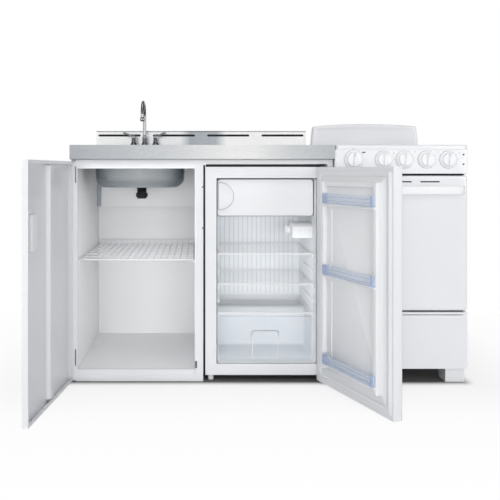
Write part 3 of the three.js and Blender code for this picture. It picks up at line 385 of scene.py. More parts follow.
def add_stack(bm, plane, bounds, corner, profile, steps=6, **options):
    """Rounded rectangles joined into a skin. The profile lists each one's inset, height and, where it isn't
    corner(inset), its corner radius."""
    u0, u1, v0, v1 = bounds
    rings = []
    for inset, w, *radius in profile:
        outline = rounded_outline(u0 + inset, u1 - inset, v0 + inset, v1 - inset,
                                  radius[0] if radius else corner(inset), steps)
        rings.append([plane_point(plane, u, v, w) for u, v in outline])
    add_loops(bm, rings, **options)


def add_plate(bm, plane, outline, w0, w1, edge):
    """A flat plate from an outline, with its front and back edges eased."""
    us, vs = zip(*outline)
    middle_u, middle_v = sum(us) / len(us), sum(vs) / len(vs)

    def ring(inset, w):
        shrink_u, shrink_v = 1 - 2 * inset / (max(us) - min(us)), 1 - 2 * inset / (max(vs) - min(vs))
        return [plane_point(plane, middle_u + (u - middle_u) * shrink_u, middle_v + (v - middle_v) * shrink_v, w)
                for u, v in outline]

    sign = 1 if w1 > w0 else -1
    soft = edge * 0.3
    add_loops(bm, [ring(edge, w0), ring(soft, w0 + sign * soft), ring(0, w0 + sign * edge),
                   ring(0, w1 - sign * edge), ring(soft, w1 - sign * soft), ring(edge, w1)])


def add_lathe(bm, profile, centre, plane="XY", steps=48):
    """Turns a profile of (radius, height) about a plane's normal through the centre. Radius 0 closes the end."""
    rings = []
    for radius, height in profile:
        spots = [(radius * math.cos(a), radius * math.sin(a)) for a in circle(steps if radius else 1)]
        rings.append([bm.verts.new((Vector(plane_point(plane, u, v, height)) + Vector(centre)) * MM)
                      for u, v in spots])
    for below, above in zip(rings, rings[1:]):
        for i in range(steps):
            j = (i + 1) % steps
            corners = list(dict.fromkeys((below[i % len(below)], below[j % len(below)],
                                          above[j % len(above)], above[i % len(above)])))
            if len(corners) > 2:
                bm.faces.new(corners)


def add_dial(bm, plane, centre, flutes, profile):
    """A turned dial: each entry of the profile is a radius, a height and the depth of the flutes there."""
    rings = []
    for radius, height, depth in profile:
        ring = []
        for angle in circle(4 * flutes):
            reach = radius - depth * (0.5 + 0.5 * math.cos(flutes * angle))
            spot = plane_point(plane, reach * math.cos(angle), reach * math.sin(angle), height)
            ring.append(Vector(centre) + Vector(spot))
        rings.append(ring)
    add_loops(bm, rings)


def smooth_path(points, per_span=5):
    """A Catmull-Rom curve through the points."""
    padded = [Vector(point) for point in (points[0], *points, points[-1])]
    path = []
    for a, b, c, d in zip(padded, padded[1:], padded[2:], padded[3:]):
        for step in range(per_span):
            t = step / per_span
            path.append(0.5 * (2 * b + (c - a) * t + (2 * a - 5 * b + 4 * c - d) * t * t
                               + (3 * b - a - 3 * c + d) * t ** 3))
    return [*path, padded[-1]]


def add_tube(bm, path, radius, sides=8, closed=False, flatten=1.0, place=Matrix()):
    """A rod along a path; its ends are slightly domed. Radius may be a function of 0 to 1."""
    points = [Vector(point) for point in path]
    last = len(points) - 1
    rings = []
    across = None
    for i, point in enumerate(points):
        before = points[i - 1] if i or closed else point
        after = points[0 if closed and i == last else min(i + 1, last)]
        along = (after - before).normalized()
        across = across or along.orthogonal()
        across = (across - along * across.dot(along)).normalized()
        up = along.cross(across)
        r = radius(i / last) if callable(radius) else radius
        rings.append([point + (across * math.cos(a) + up * math.sin(a) * flatten) * r for a in circle(sides)])
    if not closed:
        for end, inner in ((0, 1), (-1, -2)):
            centre, ring = points[end], rings[end]
            outward = (centre - points[inner]).normalized() * (ring[0] - centre).length
            middle, tip = ([centre + (p - centre) * share + outward * rise for p in ring]
                           for share, rise in ((0.87, 0.14), (0.55, 0.28)))
            rings = [tip, middle, *rings] if end == 0 else [*rings, middle, tip]
    add_loops(bm, rings, closed, place=place)


def eased(node, name, width, material):
    """The node's own shape with its edges rounded, in a richer material. Short edges, as round a bore, stay sharp."""
    sharp = 28  # degrees
    bm = bmesh.new()
    bm.from_mesh(NODES[node].data)
    bmesh.ops.remove_doubles(bm, verts=bm.verts, dist=2e-5)
    bmesh.ops.dissolve_limit(bm, angle_limit=math.radians(1.2), verts=bm.verts, edges=bm.edges)
    weight = bm.edges.layers.float.new("bevel_weight_edge")
    for edge in bm.edges:
        if edge.calc_length() > 1.5 * width * MM and edge.calc_face_angle(0) > math.radians(sharp):
            edge[weight] = 1.0
    bevel = add_piece(bm, name, material, node, angle=sharp).modifiers.new("edges", "BEVEL")
    bevel.width = width * MM
    bevel.segments = 2
    bevel.limit_method = "WEIGHT"
    bevel.harden_normals = True
    bevel.use_clamp_overlap = True
    bevel.miter_outer = "MITER_ARC"

# ---------------------------------------------------------------- materials


def along_x(*stops):
    return [(place, tone(*color)) for place, color in stops]


WHITE = enamel("white_enamel", tone(235, 236, 239), 0.32)
# the cabinet's inside paint: rougher and less glossy than the outside, and made lighter than the outside white as
# painted light against the shade inside; the refrigerator's back sheet uses it too
INTERIOR = enamel("cabinet_paint", tone(244, 245, 246), 0.5, coat=0.1, peel=0.08)
LINER = moulded("fridge_liner", tone(248, 250, 252), 0.42, 0.03)
# painted shade: a darker tone of the liner for the back wall's ribs
RIB_SHADE = moulded("liner_rib", tone(226, 231, 238), 0.42, 0.03)
# painted shade: grey for the shadowed strip at the corner's pipe chase
CHASE_SHADE_GREY = moulded("chase_painted_shade", tone(176, 182, 190), 0.5, 0.03)
DOOR_LINER = moulded("door_liner", tone(240, 241, 243), 0.38, 0.03)
PLASTIC = moulded("white_plastic", tone(243, 244, 246), 0.36, 0.03)
WIRE = enamel("wire_coating", tone(238, 239, 241), 0.34, peel=0.15)
RUBBER = moulded("seal_rubber", tone(236, 238, 240), 0.62, 0.12)
# painted shade: grey for the seal and lip round the freezer door, standing for the shade in its gap
SEAL_SHADE_GREY = moulded("seal_painted_shade", tone(120, 124, 130), 0.7, 0.1)
BLACK = moulded("black_plastic", tone(26, 27, 29), 0.42, 0.1)
COMPRESSOR = enamel("black_paint", tone(30, 31, 33), 0.4, coat=0.15, peel=0.2)
# grey for printed ticks round the dials, and for lines of painted shade along the freezer grip's edge and round each
# dial's foot; the crisper pull's top line is drawn in it too
GREY_PRINT_AND_SHADE = moulded("grey_print_and_painted_shade", tone(128, 134, 142), 0.7, 0.2)
# dark grey for printed marks, and for painted shade: dark plates and strips in slots and gaps and under the apron,
# where there is only shade
DARK = moulded("dark_print_and_painted_shade", tone(38, 39, 41), 0.7, 0.2)
OVEN_ENAMEL = enamel("oven_enamel", tone(46, 48, 52), 0.36, coat=0.3, peel=0.1)
SPECKLE = ramp(OVEN_ENAMEL, noise(OVEN_ENAMEL, 900, 1), along_x((0.60, (44, 46, 50)), (0.66, (196, 198, 202))))
drive(OVEN_ENAMEL, SPECKLE, "Base Color")
COIL = enamel("heating_coil", tone(52, 50, 50), 0.55, coat=0.0, peel=0.4)
ZINC = brushed("zinc_plate", tone(150, 153, 156), 0.36, (1, 1, 30))
CHROME = brushed("chrome", tone(182, 186, 191), 0.07)
COPPER = brushed("copper_pipe", tone(196, 122, 84), 0.3)
PAN_STEEL = brushed("drip_bowl", tone(214, 216, 219), 0.14)
# painted shade and dark reflection: a darker tone of the same steel for the rolled edges
EDGE_SHADE_STEEL = brushed("rolled_edge_shade_steel", tone(108, 114, 120), 0.2)
# painted highlight and shade on the bowl's outside: bright in the middle where it faces the light and dark round its
# ends
BOWL_STEEL = brushed("bowl_steel", (1, 1, 1), 0.3, (1, 1, 24), along_x(
    (0.0, (112, 120, 125)), (0.1, (140, 148, 153)), (0.26, (182, 188, 192)), (0.5, (204, 208, 211)),
    (0.74, (182, 188, 192)), (0.9, (134, 141, 146)), (1.0, (106, 112, 117))), (-0.439, -0.07))
# painted highlight and shade on the counter's edge: darker at both ends and bright where it catches the light
APRON = brushed("counter_steel", (1, 1, 1), 0.3, (0.6, 26, 26), along_x(
    (0.0, (190, 195, 200)), (0.36, (222, 225, 228)), (0.6, (254, 254, 254)),
    (0.7, (252, 252, 252)), (0.84, (222, 225, 227)), (1.0, (200, 204, 208))), (-0.508, 0.508))
# painted reflection on the backsplash: a darker band across the middle between bright ends
SPLASH = brushed("splash_steel", (1, 1, 1), 0.24, (0.6, 26, 26), along_x(
    (0.0, (250, 251, 251)), (0.4, (247, 248, 249)), (0.45, (178, 184, 190)),
    (0.57, (184, 190, 195)), (0.62, (252, 252, 253)), (1.0, (254, 254, 254))), (-0.497, 0.497))
GLASS = glassy("shelf_glass", tone(236, 245, 245), 0.04, 0.02, 14, 0.05, alpha=0.05)
CLEAR = glassy("clear_plastic", tone(226, 233, 242), 0.12, 0.02, 160, 0.12, alpha=0.2)
BLUE = glassy("blue_plastic", tone(222, 233, 252), 0.14, 0.03, 60, 0.08, alpha=0.26)
BLUE_BLOCK = glassy("blue_block", tone(178, 200, 238), 0.2, 0.05, 90, 0.2, alpha=0.5)
BLUE_MARK = glassy("blue_mark", tone(52, 96, 190), 0.25, 0.2, 300, 0.05, coat=0.5)
RED_LAMP = glassy("red_lamp", tone(122, 22, 34), 0.25, 0.2, 300, 0.05, coat=0.5)

# ---------------------------------------------------------------- pieces that keep the node's shape

FINISH = {"white_enamel": WHITE, "cabinet_interior": INTERIOR, "stainless": APRON, "chrome": CHROME,
          "black_plastic": BLACK, "black_steel": COMPRESSOR, "oven_enamel": OVEN_ENAMEL, "zinc_steel": ZINC,
          "white_wire": WIRE, "white_plastic": PLASTIC, "liner_plastic": LINER, "seal": RUBBER,
          "shelf_glass": GLASS, "clear_plastic": CLEAR, "blue_plastic": BLUE, "heating_coil": COIL}
LOOK = {"backsplash": SPLASH}  # nodes whose finish differs from the rest of their slot
# the edge radius in millimetres of each node whose own shape stays
KEPT = {"countertop": 2.6, "backsplash": 0.9, "fridge_shell": 1.6, "fridge_door_panel": 2.0, "freezer_box": 1.2,
        "fridge_hinge_top": 0.5, "fridge_hinge_bottom": 0.5, "range_body": 1.5, "oven_cavity": 1.0,
        "range_control_panel": 1.8, "storage_drawer": 1.6, "cabinet_front_frame": 1.2, "cabinet_left_side": 1.0,
        "cabinet_divider": 1.0, "cabinet_right_side": 1.0, "cabinet_floor": 0.8, "cabinet_back": 0.5,
        "cabinet_rear_panel": 0.9, "door_catch": 0.8, "sink_door_panel": 0.7, "sink_door_stiffener": 0.6,
        "sink_hinge_top": 0.5, "sink_hinge_bottom": 0.5}


def carry_over():
    """Every node gets its full finish, and those that stay get rounded edges."""
    for name, node in NODES.items():
        finish = LOOK.get(name, FINISH[SLOT_OF[name]])
        node.data.materials[0] = finish
        if name in KEPT:
            eased(name, name + "_finished", KEPT[name], finish)

# ---------------------------------------------------------------- counter, backsplash and sink

COUNTER_TOP = 914.0
BOWL = {"left": -439, "right": -70, "front": -200, "back": 140, "bottom": 746, "corner": 62}
DRAIN = (-254.5, -30)
DRAIN_RADIUS = 18
FAUCET = (-263, 235)
TAP_SPREAD = 50.8  # from the spout to each tap
HUB_TOP = 960


def bowl_ring(inset, corner, z):
    outline = rounded_outline(BOWL["left"] + inset, BOWL["right"] - inset, BOWL["front"] + inset,
                              BOWL["back"] - inset, corner, 14)
    return [(x, y, z) for x, y in outline]


def hole_ring(like, radius, z):
    """A circle round the drain with one point for each point of the ring it joins."""
    angles = [math.atan2(y - DRAIN[1], x - DRAIN[0]) for x, y, _ in like]
    return [(DRAIN[0] + radius * math.cos(a), DRAIN[1] + radius * math.sin(a), z) for a in angles]


def between(ring_a, ring_b, share):
    return [Vector(a).lerp(Vector(b), share) for a, b in zip(ring_a, ring_b)]


def make_bowl():
    """A pressed bowl with a rolled rim, a rounded foot and a floor that dishes towards the drain."""
    sheet, foot, slope, corner, bottom = 1.6, 40, 6, BOWL["corner"], BOWL["bottom"]
    rim = COUNTER_TOP + 0.35

    def foot_rings(thick):
        rings = []
        for step in range(9):
            angle = math.radians(90 - 90 * step / 8)
            inset = slope + foot - (foot - thick) * math.cos(angle)
            rings.append(bowl_ring(inset, corner - inset * 0.5, bottom + foot - (foot - thick) * math.sin(angle)))
        return rings

    outside, inside = foot_rings(0), list(reversed(foot_rings(sheet)))
    under, over = outside[0], inside[-1]
    sides = [bowl_ring(inset, corner + turn, rim + rise) for inset, turn, rise in (
        (0, 0, -3), (-1.5, 1.5, 0), (-14.6, 14, 0), (-15, 15, 0.7), (-13.4, 13, 1.6), (-6, 6, 1.9), (-1, 0, 1.6),
        (sheet - 0.4, -1.2, 0.4), (sheet, -sheet, -3))]
    floor_under = [between(hole_ring(under, 33, bottom), under, share) for share in (0.0, 0.35, 0.7)]
    floor_over = [between(hole_ring(over, 33, bottom + sheet), over, share) for share in (0.7, 0.35, 0.0)]
    bm = bmesh.new()
    add_loops(bm, [hole_ring(under, DRAIN_RADIUS, bottom), *floor_under, *outside, *sides, *inside, *floor_over,
                   hole_ring(over, DRAIN_RADIUS, bottom + sheet)], closed=True)
    add_piece(bm, "sink_bowl_pressed", BOWL_STEEL, "sink_bowl", angle=50)


def make_strainer():
    """The drain's flange and its cup, with a ring of slots and the basket's knob."""
    centre = (*DRAIN, BOWL["bottom"] + 2.0)
    bm = bmesh.new()
    add_lathe(bm, [(0, -11.6), (16.4, -11.6), (16.7, -11), (16.7, -0.4), (17.6, 0), (29.4, 0), (29.9, 0.5),
                   (28.6, 1.3), (24, 1.9), (19, 1.6), (16.2, 0.4), (15.2, -2), (15.0, -9.4), (14.2, -10),
                   (5.6, -10.2), (5.2, -9.4), (0, -9)], centre)
    add_piece(bm, "drain_flange", PAN_STEEL, "sink_strainer", angle=35)
    # painted shade: thin dark plates on the cup's floor stand for the slots
    add_boxes("drain_slots", DARK,
              [(7.2, 13.4, -1.1, 1.1, -9.95, -9.75, 0.05, 1, turned_about(centre, 30 * i)) for i in range(12)])


def make_tailpiece():
    """The drain's threaded body, its wing nut and the open tail below the bowl."""
    low, top = 697.0, BOWL["bottom"] - 0.3
    thread = []
    z = low + 27.5
    while z < top - 6.5:
        thread += [(19.6, z), (20.5, z + 1), (19.6, z + 2)]
        z += 2
    profile = [(17.4, low + 0.4), (17.9, low), (19.2, low), (19.7, low + 0.6), (19.7, low + 5), (21.4, low + 5.4),
               (24.2, low + 6.6), (24.5, low + 8), (24.5, low + 22), (24, low + 23.6), (20, low + 24.4), *thread,
               (20.4, top - 4.4), (26.4, top - 4.4), (27, top - 3.8), (27, top - 0.5), (26.5, top), (17.4, top)]
    centre = (*DRAIN, 0)
    bm = bmesh.new()
    add_lathe(bm, [*profile, profile[0]], centre)
    for i in range(16):  # the nut's grip
        add_box(bm, 22.6, 24.9, -1.2, 1.2, low + 8, low + 21, 0.5, 2, turned_about(centre, 22.5 * i))
    add_piece(bm, "drain_tail", BLACK, "drain_tailpiece", angle=35)


def make_edges():
    """The sheet's rolled edges, along the backsplash's top and up the apron's two ends, in a darker tone of the steel
    that paints their shade and dark reflection.
    """
    low, high = (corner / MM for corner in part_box("backsplash"))
    bm = bmesh.new()
    add_tube(bm, [(low.x + 0.5, low.y + 3.6, high.z - 4), (high.x - 0.5, low.y + 3.6, high.z - 4)], 3.9, 16)
    add_piece(bm, "backsplash_roll", EDGE_SHADE_STEEL, angle=35)
    low, high = (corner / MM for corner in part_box("countertop"))
    bm = bmesh.new()
    for x in (low.x + 2.6, high.x - 2.6):
        add_tube(bm, [(x, low.y + 2.7, low.z + 2), (x, low.y + 2.7, COUNTER_TOP - 2)], 2.65, 16)
    add_piece(bm, "apron_corners", EDGE_SHADE_STEEL, angle=35)


def make_vents():
    """Painted shade behind the backsplash's four slots: a dark sheet, with black lips round the slots."""
    add_boxes("vent_shadow", DARK, [(-490, 490, 308.4, 310.4, 972, 992, 0.4, 1)])
    bm = bmesh.new()
    for i in range(4):
        middle = 258 * (i - 1.5)
        add_stack(bm, "XZ", (middle - 100, middle + 100, 977.2, 986.8), None,
                  ((0, 308.4, 0.6), (0, 306.2, 0.6), (0.8, 306.2, 0.4), (0.8, 308.4, 0.4)), 2, closed=True)
    add_piece(bm, "vent_lips", BLACK, angle=35)


def make_faucet():
    """The deck plate with three bells and their shanks and nuts, and the gooseneck with its collar and tip."""
    x, y = FAUCET
    z = COUNTER_TOP + 0.3
    tall = HUB_TOP - z
    bm = bmesh.new()
    add_stack(bm, "XY", (x - 77.8, x + 77.8, y - 27, y + 27), lambda inset: 26.4 - inset,
              [(inset, z + h) for inset, h in ((0, 0), (0, 3.6), (0.9, 5), (2.6, 5.9), (6, 6.2))], 12)
    bell = [(0, 5.4), (25.6, 5.4), (25.2, 7.4), (23.4, 10), (19.4, 15.6), (15.6, 21.4), (12.6, 27.4), (11, 32.4),
            (10.2, 36), (11.4, 36.8), (11.6, 39.2), (10.3, 40.2), (9.6, 43), (9.4, tall - 0.6), (8.8, tall), (0, tall)]
    shank = [(0, 855)]
    height = 856.0
    while height < 888:
        shank += [(7.4, height), (8, height + 0.8), (7.4, height + 1.6)]
        height += 1.6
    shank += [(8, 889), (8, z + 1), (0, z + 1)]
    nut = [(8, 872), (16.4, 872), (17, 873), (17, 881), (16.4, 882), (8, 882)]
    for side in (-1, 0, 1):
        spot = (x + side * TAP_SPREAD, y, 0)
        add_lathe(bm, bell, (*spot[:2], z))
        add_lathe(bm, shank, spot, steps=24)
        add_lathe(bm, nut, spot, steps=6)
    add_piece(bm, "faucet_body", CHROME, "faucet_base")

    radius, arc = 65, 1061  # of the spout's bend, and the height of its centre
    tip = y - 2 * radius
    bm = bmesh.new()
    add_lathe(bm, [(0, 0.3), (10.6, 0.3), (11, 1), (11, 4), (10, 5), (9.2, 12), (9.6, 13.4), (9, 15), (7.6, 17.6),
                   (7.5, 20), (0, 20)], (x, y, HUB_TOP))
    bend = [(x, y - radius + radius * math.cos(math.radians(a)), arc + radius * math.sin(math.radians(a)))
            for a in range(0, 181, 6)]
    add_tube(bm, [(x, y, HUB_TOP + 16), (x, y, HUB_TOP + 40), (x, y, arc - 20), *bend, (x, tip, arc - 6),
                  (x, tip, 1050)], 7.5, 20)
    add_lathe(bm, [(0, 1037.4), (7.2, 1037.4), (7.6, 1035), (9.2, 1035), (9.7, 1035.6), (10, 1047), (9.4, 1048.6),
                   (9.4, 1050), (8.4, 1052.4), (7.6, 1053.4), (0, 1053.4)], (x, tip, 0))
    add_piece(bm, "faucet_gooseneck", CHROME, "faucet_spout")


def make_lever(node, side, button):
    """A tap's hub and lever, with a tinted button that tells hot from cold."""
    hub = (FAUCET[0] + side * TAP_SPREAD, FAUCET[1], HUB_TOP + 0.3)
    bm = bmesh.new()
    add_lathe(bm, [(0, 0), (9.2, 0), (9.6, 0.8), (10.4, 11), (10, 14), (8.6, 17.4), (7, 20.4), (4, 22.6), (0, 23)], hub)
    route = smooth_path([(hub[0] + side * out, hub[1], hub[2] + up)
                         for out, up in ((2, 13), (18, 19), (34, 26.6), (46.4, 30.6))], 7)
    add_tube(bm, route, lambda t: 4.2 + 1.4 * math.sin(min(1.0, t * 1.05) * math.pi / 2) ** 3, 16, flatten=0.7)
    add_piece(bm, node + "_lever", CHROME, node, angle=50)
    bm = bmesh.new()
    add_lathe(bm, [(0, 22.6), (3.2, 22.6), (3.1, 22.98), (0, 23.1)], hub, steps=24)
    add_piece(bm, node + "_button", button, body=BODY_OF[node], angle=35)


def make_wire_shelf():
    """Round wires on cross rails, each turned up at the back against a top rail."""
    left, right, front, back, z, radius, wires, rails = -483, -32, -266, 300, 467, 2, 18, 7
    bm = bmesh.new()
    for i in range(wires):
        x = left + radius + (right - left - 2 * radius) * i / (wires - 1)
        route = [(x, front + radius, z), (x, -120, z), (x, 120, z), (x, back - 7, z), (x, back - 2.8, z + 3),
                 (x, back - radius, z + 12), (x, back - radius, z + 22)]
        add_tube(bm, smooth_path(route, 4), radius - 0.1)
    rows = [(front + radius + (back - front - 2 * radius) * i / (rails - 1), z) for i in range(rails)]
    for y, height in (*rows, (back - radius, z + 22)):
        add_tube(bm, [(left + radius, y, height), (right - radius, y, height)], radius)
    add_piece(bm, "wire_shelf_round", WIRE, "wire_shelf", angle=60)


make_bowl()
make_strainer()
make_tailpiece()
make_edges()
make_vents()
make_faucet()
make_lever("hot_handle", -1, RED_LAMP)
make_lever("cold_handle", 1, BLUE_MARK)
make_wire_shelf()

# ---------------------------------------------------------------- refrigerator

CAVITY = {"left": 56, "right": 445, "bottom": 66, "top": 786, "back": 150, "low_back": 10, "step": 230}
# places on the door: the distance from its hinge line, the depth inwards from its pivot line, and the height
FRIDGE_DOOR_AT = turned_about((465, -311, 0), 111) @ Matrix.Scale(-1, 4, (1, 0, 0))
SHELVES = {"fridge_shelf_upper": 487, "fridge_shelf_lower": 368, "crisper_cover": 254}
RACKS = {"door_rack_top": 696, "door_rack_middle": 433, "door_rack_bottom": 104}


def make_liner():
    """The moulded skin with wide corner radii, a ribbed back wall whose ribs carry painted shade, and doubled ledges.
    """
    skin, front = 2.0, -284.6
    left, right = CAVITY["left"] + 0.3, CAVITY["right"] - 0.3

    def section(inset, x):
        """The cavity seen from the side, as an outline at one x, with rounded corners and an open front."""
        grow = 0.3 + inset
        low, high = CAVITY["bottom"] + grow, CAVITY["top"] - grow
        back, low_back, step = CAVITY["back"] - grow, CAVITY["low_back"] - grow, CAVITY["step"] + grow
        corners = [Vector(corner) for corner in ((front, low), (low_back, low), (low_back, step), (back, step),
                                                 (back, high), (front, high))]
        points = [(x, *corners[0])]
        for before, spot, after, radius in zip(corners, corners[1:], corners[2:], (16, 10, 16, 16)):
            a, b = (before - spot).normalized() * radius, (after - spot).normalized() * radius
            for k in range(6):
                t = k / 5
                points.append((x, *((spot + a) * (1 - t) ** 2 + spot * 2 * t * (1 - t) + (spot + b) * t ** 2)))
        return [*points, (x, *corners[-1])]

    bm = bmesh.new()
    rounding = ((14, 0), (7, 0.9), (3.2, 2.8), (0.8, 7), (0, 14))  # how the side walls turn into the back
    inner = [section(skin + inset, left + skin + x) for inset, x in rounding]
    inner += [section(skin + inset, right - skin - x) for inset, x in reversed(rounding)]
    for sections in (inner, [section(0, left), section(0, right)]):
        made = [[bm.verts.new(Vector(point) * MM) for point in ring] for ring in sections]
        for a, b in zip(made, made[1:]):
            for i in range(len(a) - 1):
                bm.faces.new((a[i], a[i + 1], b[i + 1], b[i]))
        bm.faces.new(made[0])
        bm.faces.new(made[-1])
    add_piece(bm, "liner_skin", LINER, "fridge_liner", angle=50)

    ledges = []
    for z in (top - 4.3 for top in (254, 310, 368, 428, 487)):
        for x in (CAVITY["left"] + 1.4, CAVITY["right"] - 13.2):
            ledges += [(x, x + 11.8, -239.6, -0.6, z - 6, z, 1.8, 3),
                       (x + 0.6, x + 11.2, -239, -200, z - 11, z - 5, 2.2, 3)]
    add_boxes("liner_ledges", LINER, ledges)
    # the ribs, in a darker tone as painted shade
    bm = bmesh.new()
    for x in (86 + i * 20.4 for i in range(17)):
        add_tube(bm, [(x, 148.2, 262), (x, 147.2, 268), (x, 147.2, 618), (x, 148.2, 626)], 1.9, 10)
    add_piece(bm, "liner_ribs", RIB_SHADE)


def make_glass_shelf(node, top):
    left, right, front, back = 60, 441, -240, 144
    bm = bmesh.new()
    add_plate(bm, "XY", rounded_outline(left + 1.5, right - 1.5, front + 2, back - 2, 3, 4), top - 3.8, top - 0.4, 0.5)
    add_piece(bm, node + "_pane", GLASS, node)
    add_boxes(node + "_trim", PLASTIC, [
        (left, right, front - 3, front + 6, top - 4, top + 2.9, 1.5, 3),
        (left + 8, right - 8, front + 5.4, front + 12, top - 0.2, top + 0.8, 0.4),
        (left, right, back - 7, back, top - 4, top + 2.6, 1.4, 3),
        *((x, x + 3.4, front + 4, back - 4, top - 4, top + 0.6, 0.8) for x in (left, right - 3.4))], BODY_OF[node])


def make_crisper():
    """A clear tray, one thin skin with rounded corners and a rolled lip, and its raised pull."""
    low, high = 68.8, 243
    bm = bmesh.new()
    add_stack(bm, "XY", (62, 439, -240, 2), lambda inset: 16, [
        (16, low, 8), (9, low + 1.2, 12), (5.4, low + 5), (4.6, low + 12), (3.2, high - 13), (2.6, high - 9),
        (0.4, high - 7), (0, high - 6), (0, high - 1), (0.6, high), (3.6, high, 13), (4.4, high - 1.4, 13),
        (4.6, high - 6, 13)], open_end=True)
    add_piece(bm, "crisper_tray", CLEAR, "crisper_drawer")
    middle = 249.5
    for name, material, y, radius, sides, half in (
            ("crisper_pull", PLASTIC, -241.4, 1.7, 10,
             ((50.5, 79), (50.5, 130), (50.5, 172), (47.9, 178.4), (41.5, 181), (0, 181))),
            ("crisper_pull_edge", GREY_PRINT_AND_SHADE, -241.6, 1.3, 8, ((52.5, 166), (51.9, 178), (43.5, 183.6), (0, 183.8)))):
        route = [*((middle - u, y, z) for u, z in half), *((middle + u, y, z) for u, z in reversed(half[:-1]))]
        bm = bmesh.new()
        add_tube(bm, smooth_path(route), radius, sides)
        add_piece(bm, name, material, body="crisper", angle=70)


def make_freezer_door():
    """A thin door with a rounded border, a D-shaped finger grip, and a soft seal round its back whose grey paints the
    shade in the door's gap.
    """
    y = -233  # of the pivot
    x0, x1, z0, z1 = 60, 439, 637, 781
    bm = bmesh.new()
    add_stack(bm, "XZ", (x0, x1, z0, z1), lambda inset: max(2, 12 - inset * 0.7), [
        (10, y + 7), (0.8, y + 7), (0, y + 6), (0, y - 4), (0.7, y - 6), (2.6, y - 7), (9, y - 6.8),
        (11, y - 6), (13, y - 6)], 8)
    add_piece(bm, "freezer_door_moulded", DOOR_LINER, "freezer_door")

    def d_ring(width, half, depth, start=0.0):
        """A ring with a straight left side and a bulging right one."""
        left, middle, w = x0 + 4 + start, 715, y - depth
        bulge = [(left + 6 + (width - start - 6) * math.cos(math.radians(a)), w,
                  middle + half * math.sin(math.radians(a))) for a in range(-90, 91, 9)]
        return [(left, w, middle - half), *bulge, (left, w, middle + half)]

    bm = bmesh.new()
    add_loops(bm, [d_ring(*row) for row in (
        (98, 64, 6.2), (94, 63, 7.2), (80, 59, 8.6), (66, 55.5, 10.6), (60, 53, 12.6), (59, 52.4, 14),
        (57.4, 51.4, 14.8, 0.8), (54.6, 49.4, 14.6, 3), (52.4, 47.6, 11.4, 5), (49, 45, 9.6, 7))])
    add_piece(bm, "freezer_grip", DOOR_LINER, body="freezer_flap", angle=60)
    # painted shade: a grey line round the grip's edge
    bm = bmesh.new()
    add_tube(bm, d_ring(60.6, 53.4, 12), 0.9, closed=True)
    add_piece(bm, "freezer_grip_edge", GREY_PRINT_AND_SHADE, body="freezer_flap", angle=60)
    bm = bmesh.new()
    outline = rounded_outline(x0 + 3, x1 - 3, z0 + 3, z1 - 3, 9)
    add_tube(bm, [(u, y + 8.2, v) for u, v in outline], 1.5, closed=True)
    add_piece(bm, "flap_seal_shade", SEAL_SHADE_GREY, body="freezer_flap")
    bm = bmesh.new()  # the compartment's lip in grey, seen round the door as painted shade in the gap
    add_stack(bm, "XZ", (CAVITY["left"] + 2.6, CAVITY["right"] - 2.6, 634, CAVITY["top"] - 2.6), lambda inset: 11, [
        (0.4, y + 12.6), (0.2, y + 11.4), (0.6, y + 10.4), (3.4, y + 10.4), (3.6, y + 11.4), (3.4, y + 12.6)],
        closed=True)
    add_piece(bm, "compartment_lip_shade", SEAL_SHADE_GREY)


def make_thermostat():
    """A white housing with cooling slots, and a ribbed dial on its left end."""
    right = CAVITY["right"] - 2.6
    left = right - 80
    bm = bmesh.new()
    my, mz = -128, 574
    add_loops(bm, [[(x, my + (y - my) * (1 - inset / 60), mz + (z - mz) * (1 - inset / 27))
                    for y, z in ((-200, 546), (-60, 546), (-60, 603), (-180, 603), (-200, 590))]
                   for inset, x in ((3, left), (1, left + 0.8), (0, left + 3), (0, right - 1.5), (0.8, right))])
    bmesh.ops.bevel(bm, geom=[e for e in bm.edges if e.calc_length() > 0.05 or e.calc_face_angle(0) > 0.5],
                    offset=0.9 * MM, segments=2, affect="EDGES", clamp_overlap=True)
    add_piece(bm, "thermostat_case", PLASTIC, "thermostat_housing")
    add_boxes("thermostat_slots", RUBBER,
              [(x, x + 2.6, -200.5, -199.7, 552, 586, 0.3, 1) for x in (left + 26 + i * 7 for i in range(7))])
    x, y, z = left - 0.3, -130, 575
    bm = bmesh.new()
    add_dial(bm, "YZ", (x, y, z), 24, (
        (14.5, 0, 0), (17.6, -0.2, 0), (17.9, -1.4, 0), (17.9, -3, 0), (17.5, -3.6, 0.7), (17.2, -8, 0.7),
        (15.6, -11.4, 0.6), (13.6, -12.8, 0.2), (9, -13, 0)))
    add_box(bm, x - 19, x - 11, y - 2.8, y + 2.8, z - 15, z + 15, 1.4, 3)
    add_piece(bm, "thermostat_dial_ribbed", PLASTIC, "thermostat_knob")
    add_boxes("thermostat_dial_mark", DARK,
              [(x - 19.0, x - 18.4, y - 0.7, y + 0.7, z + 5, z + 13.5, 0.15, 1)], "thermostat_dial")


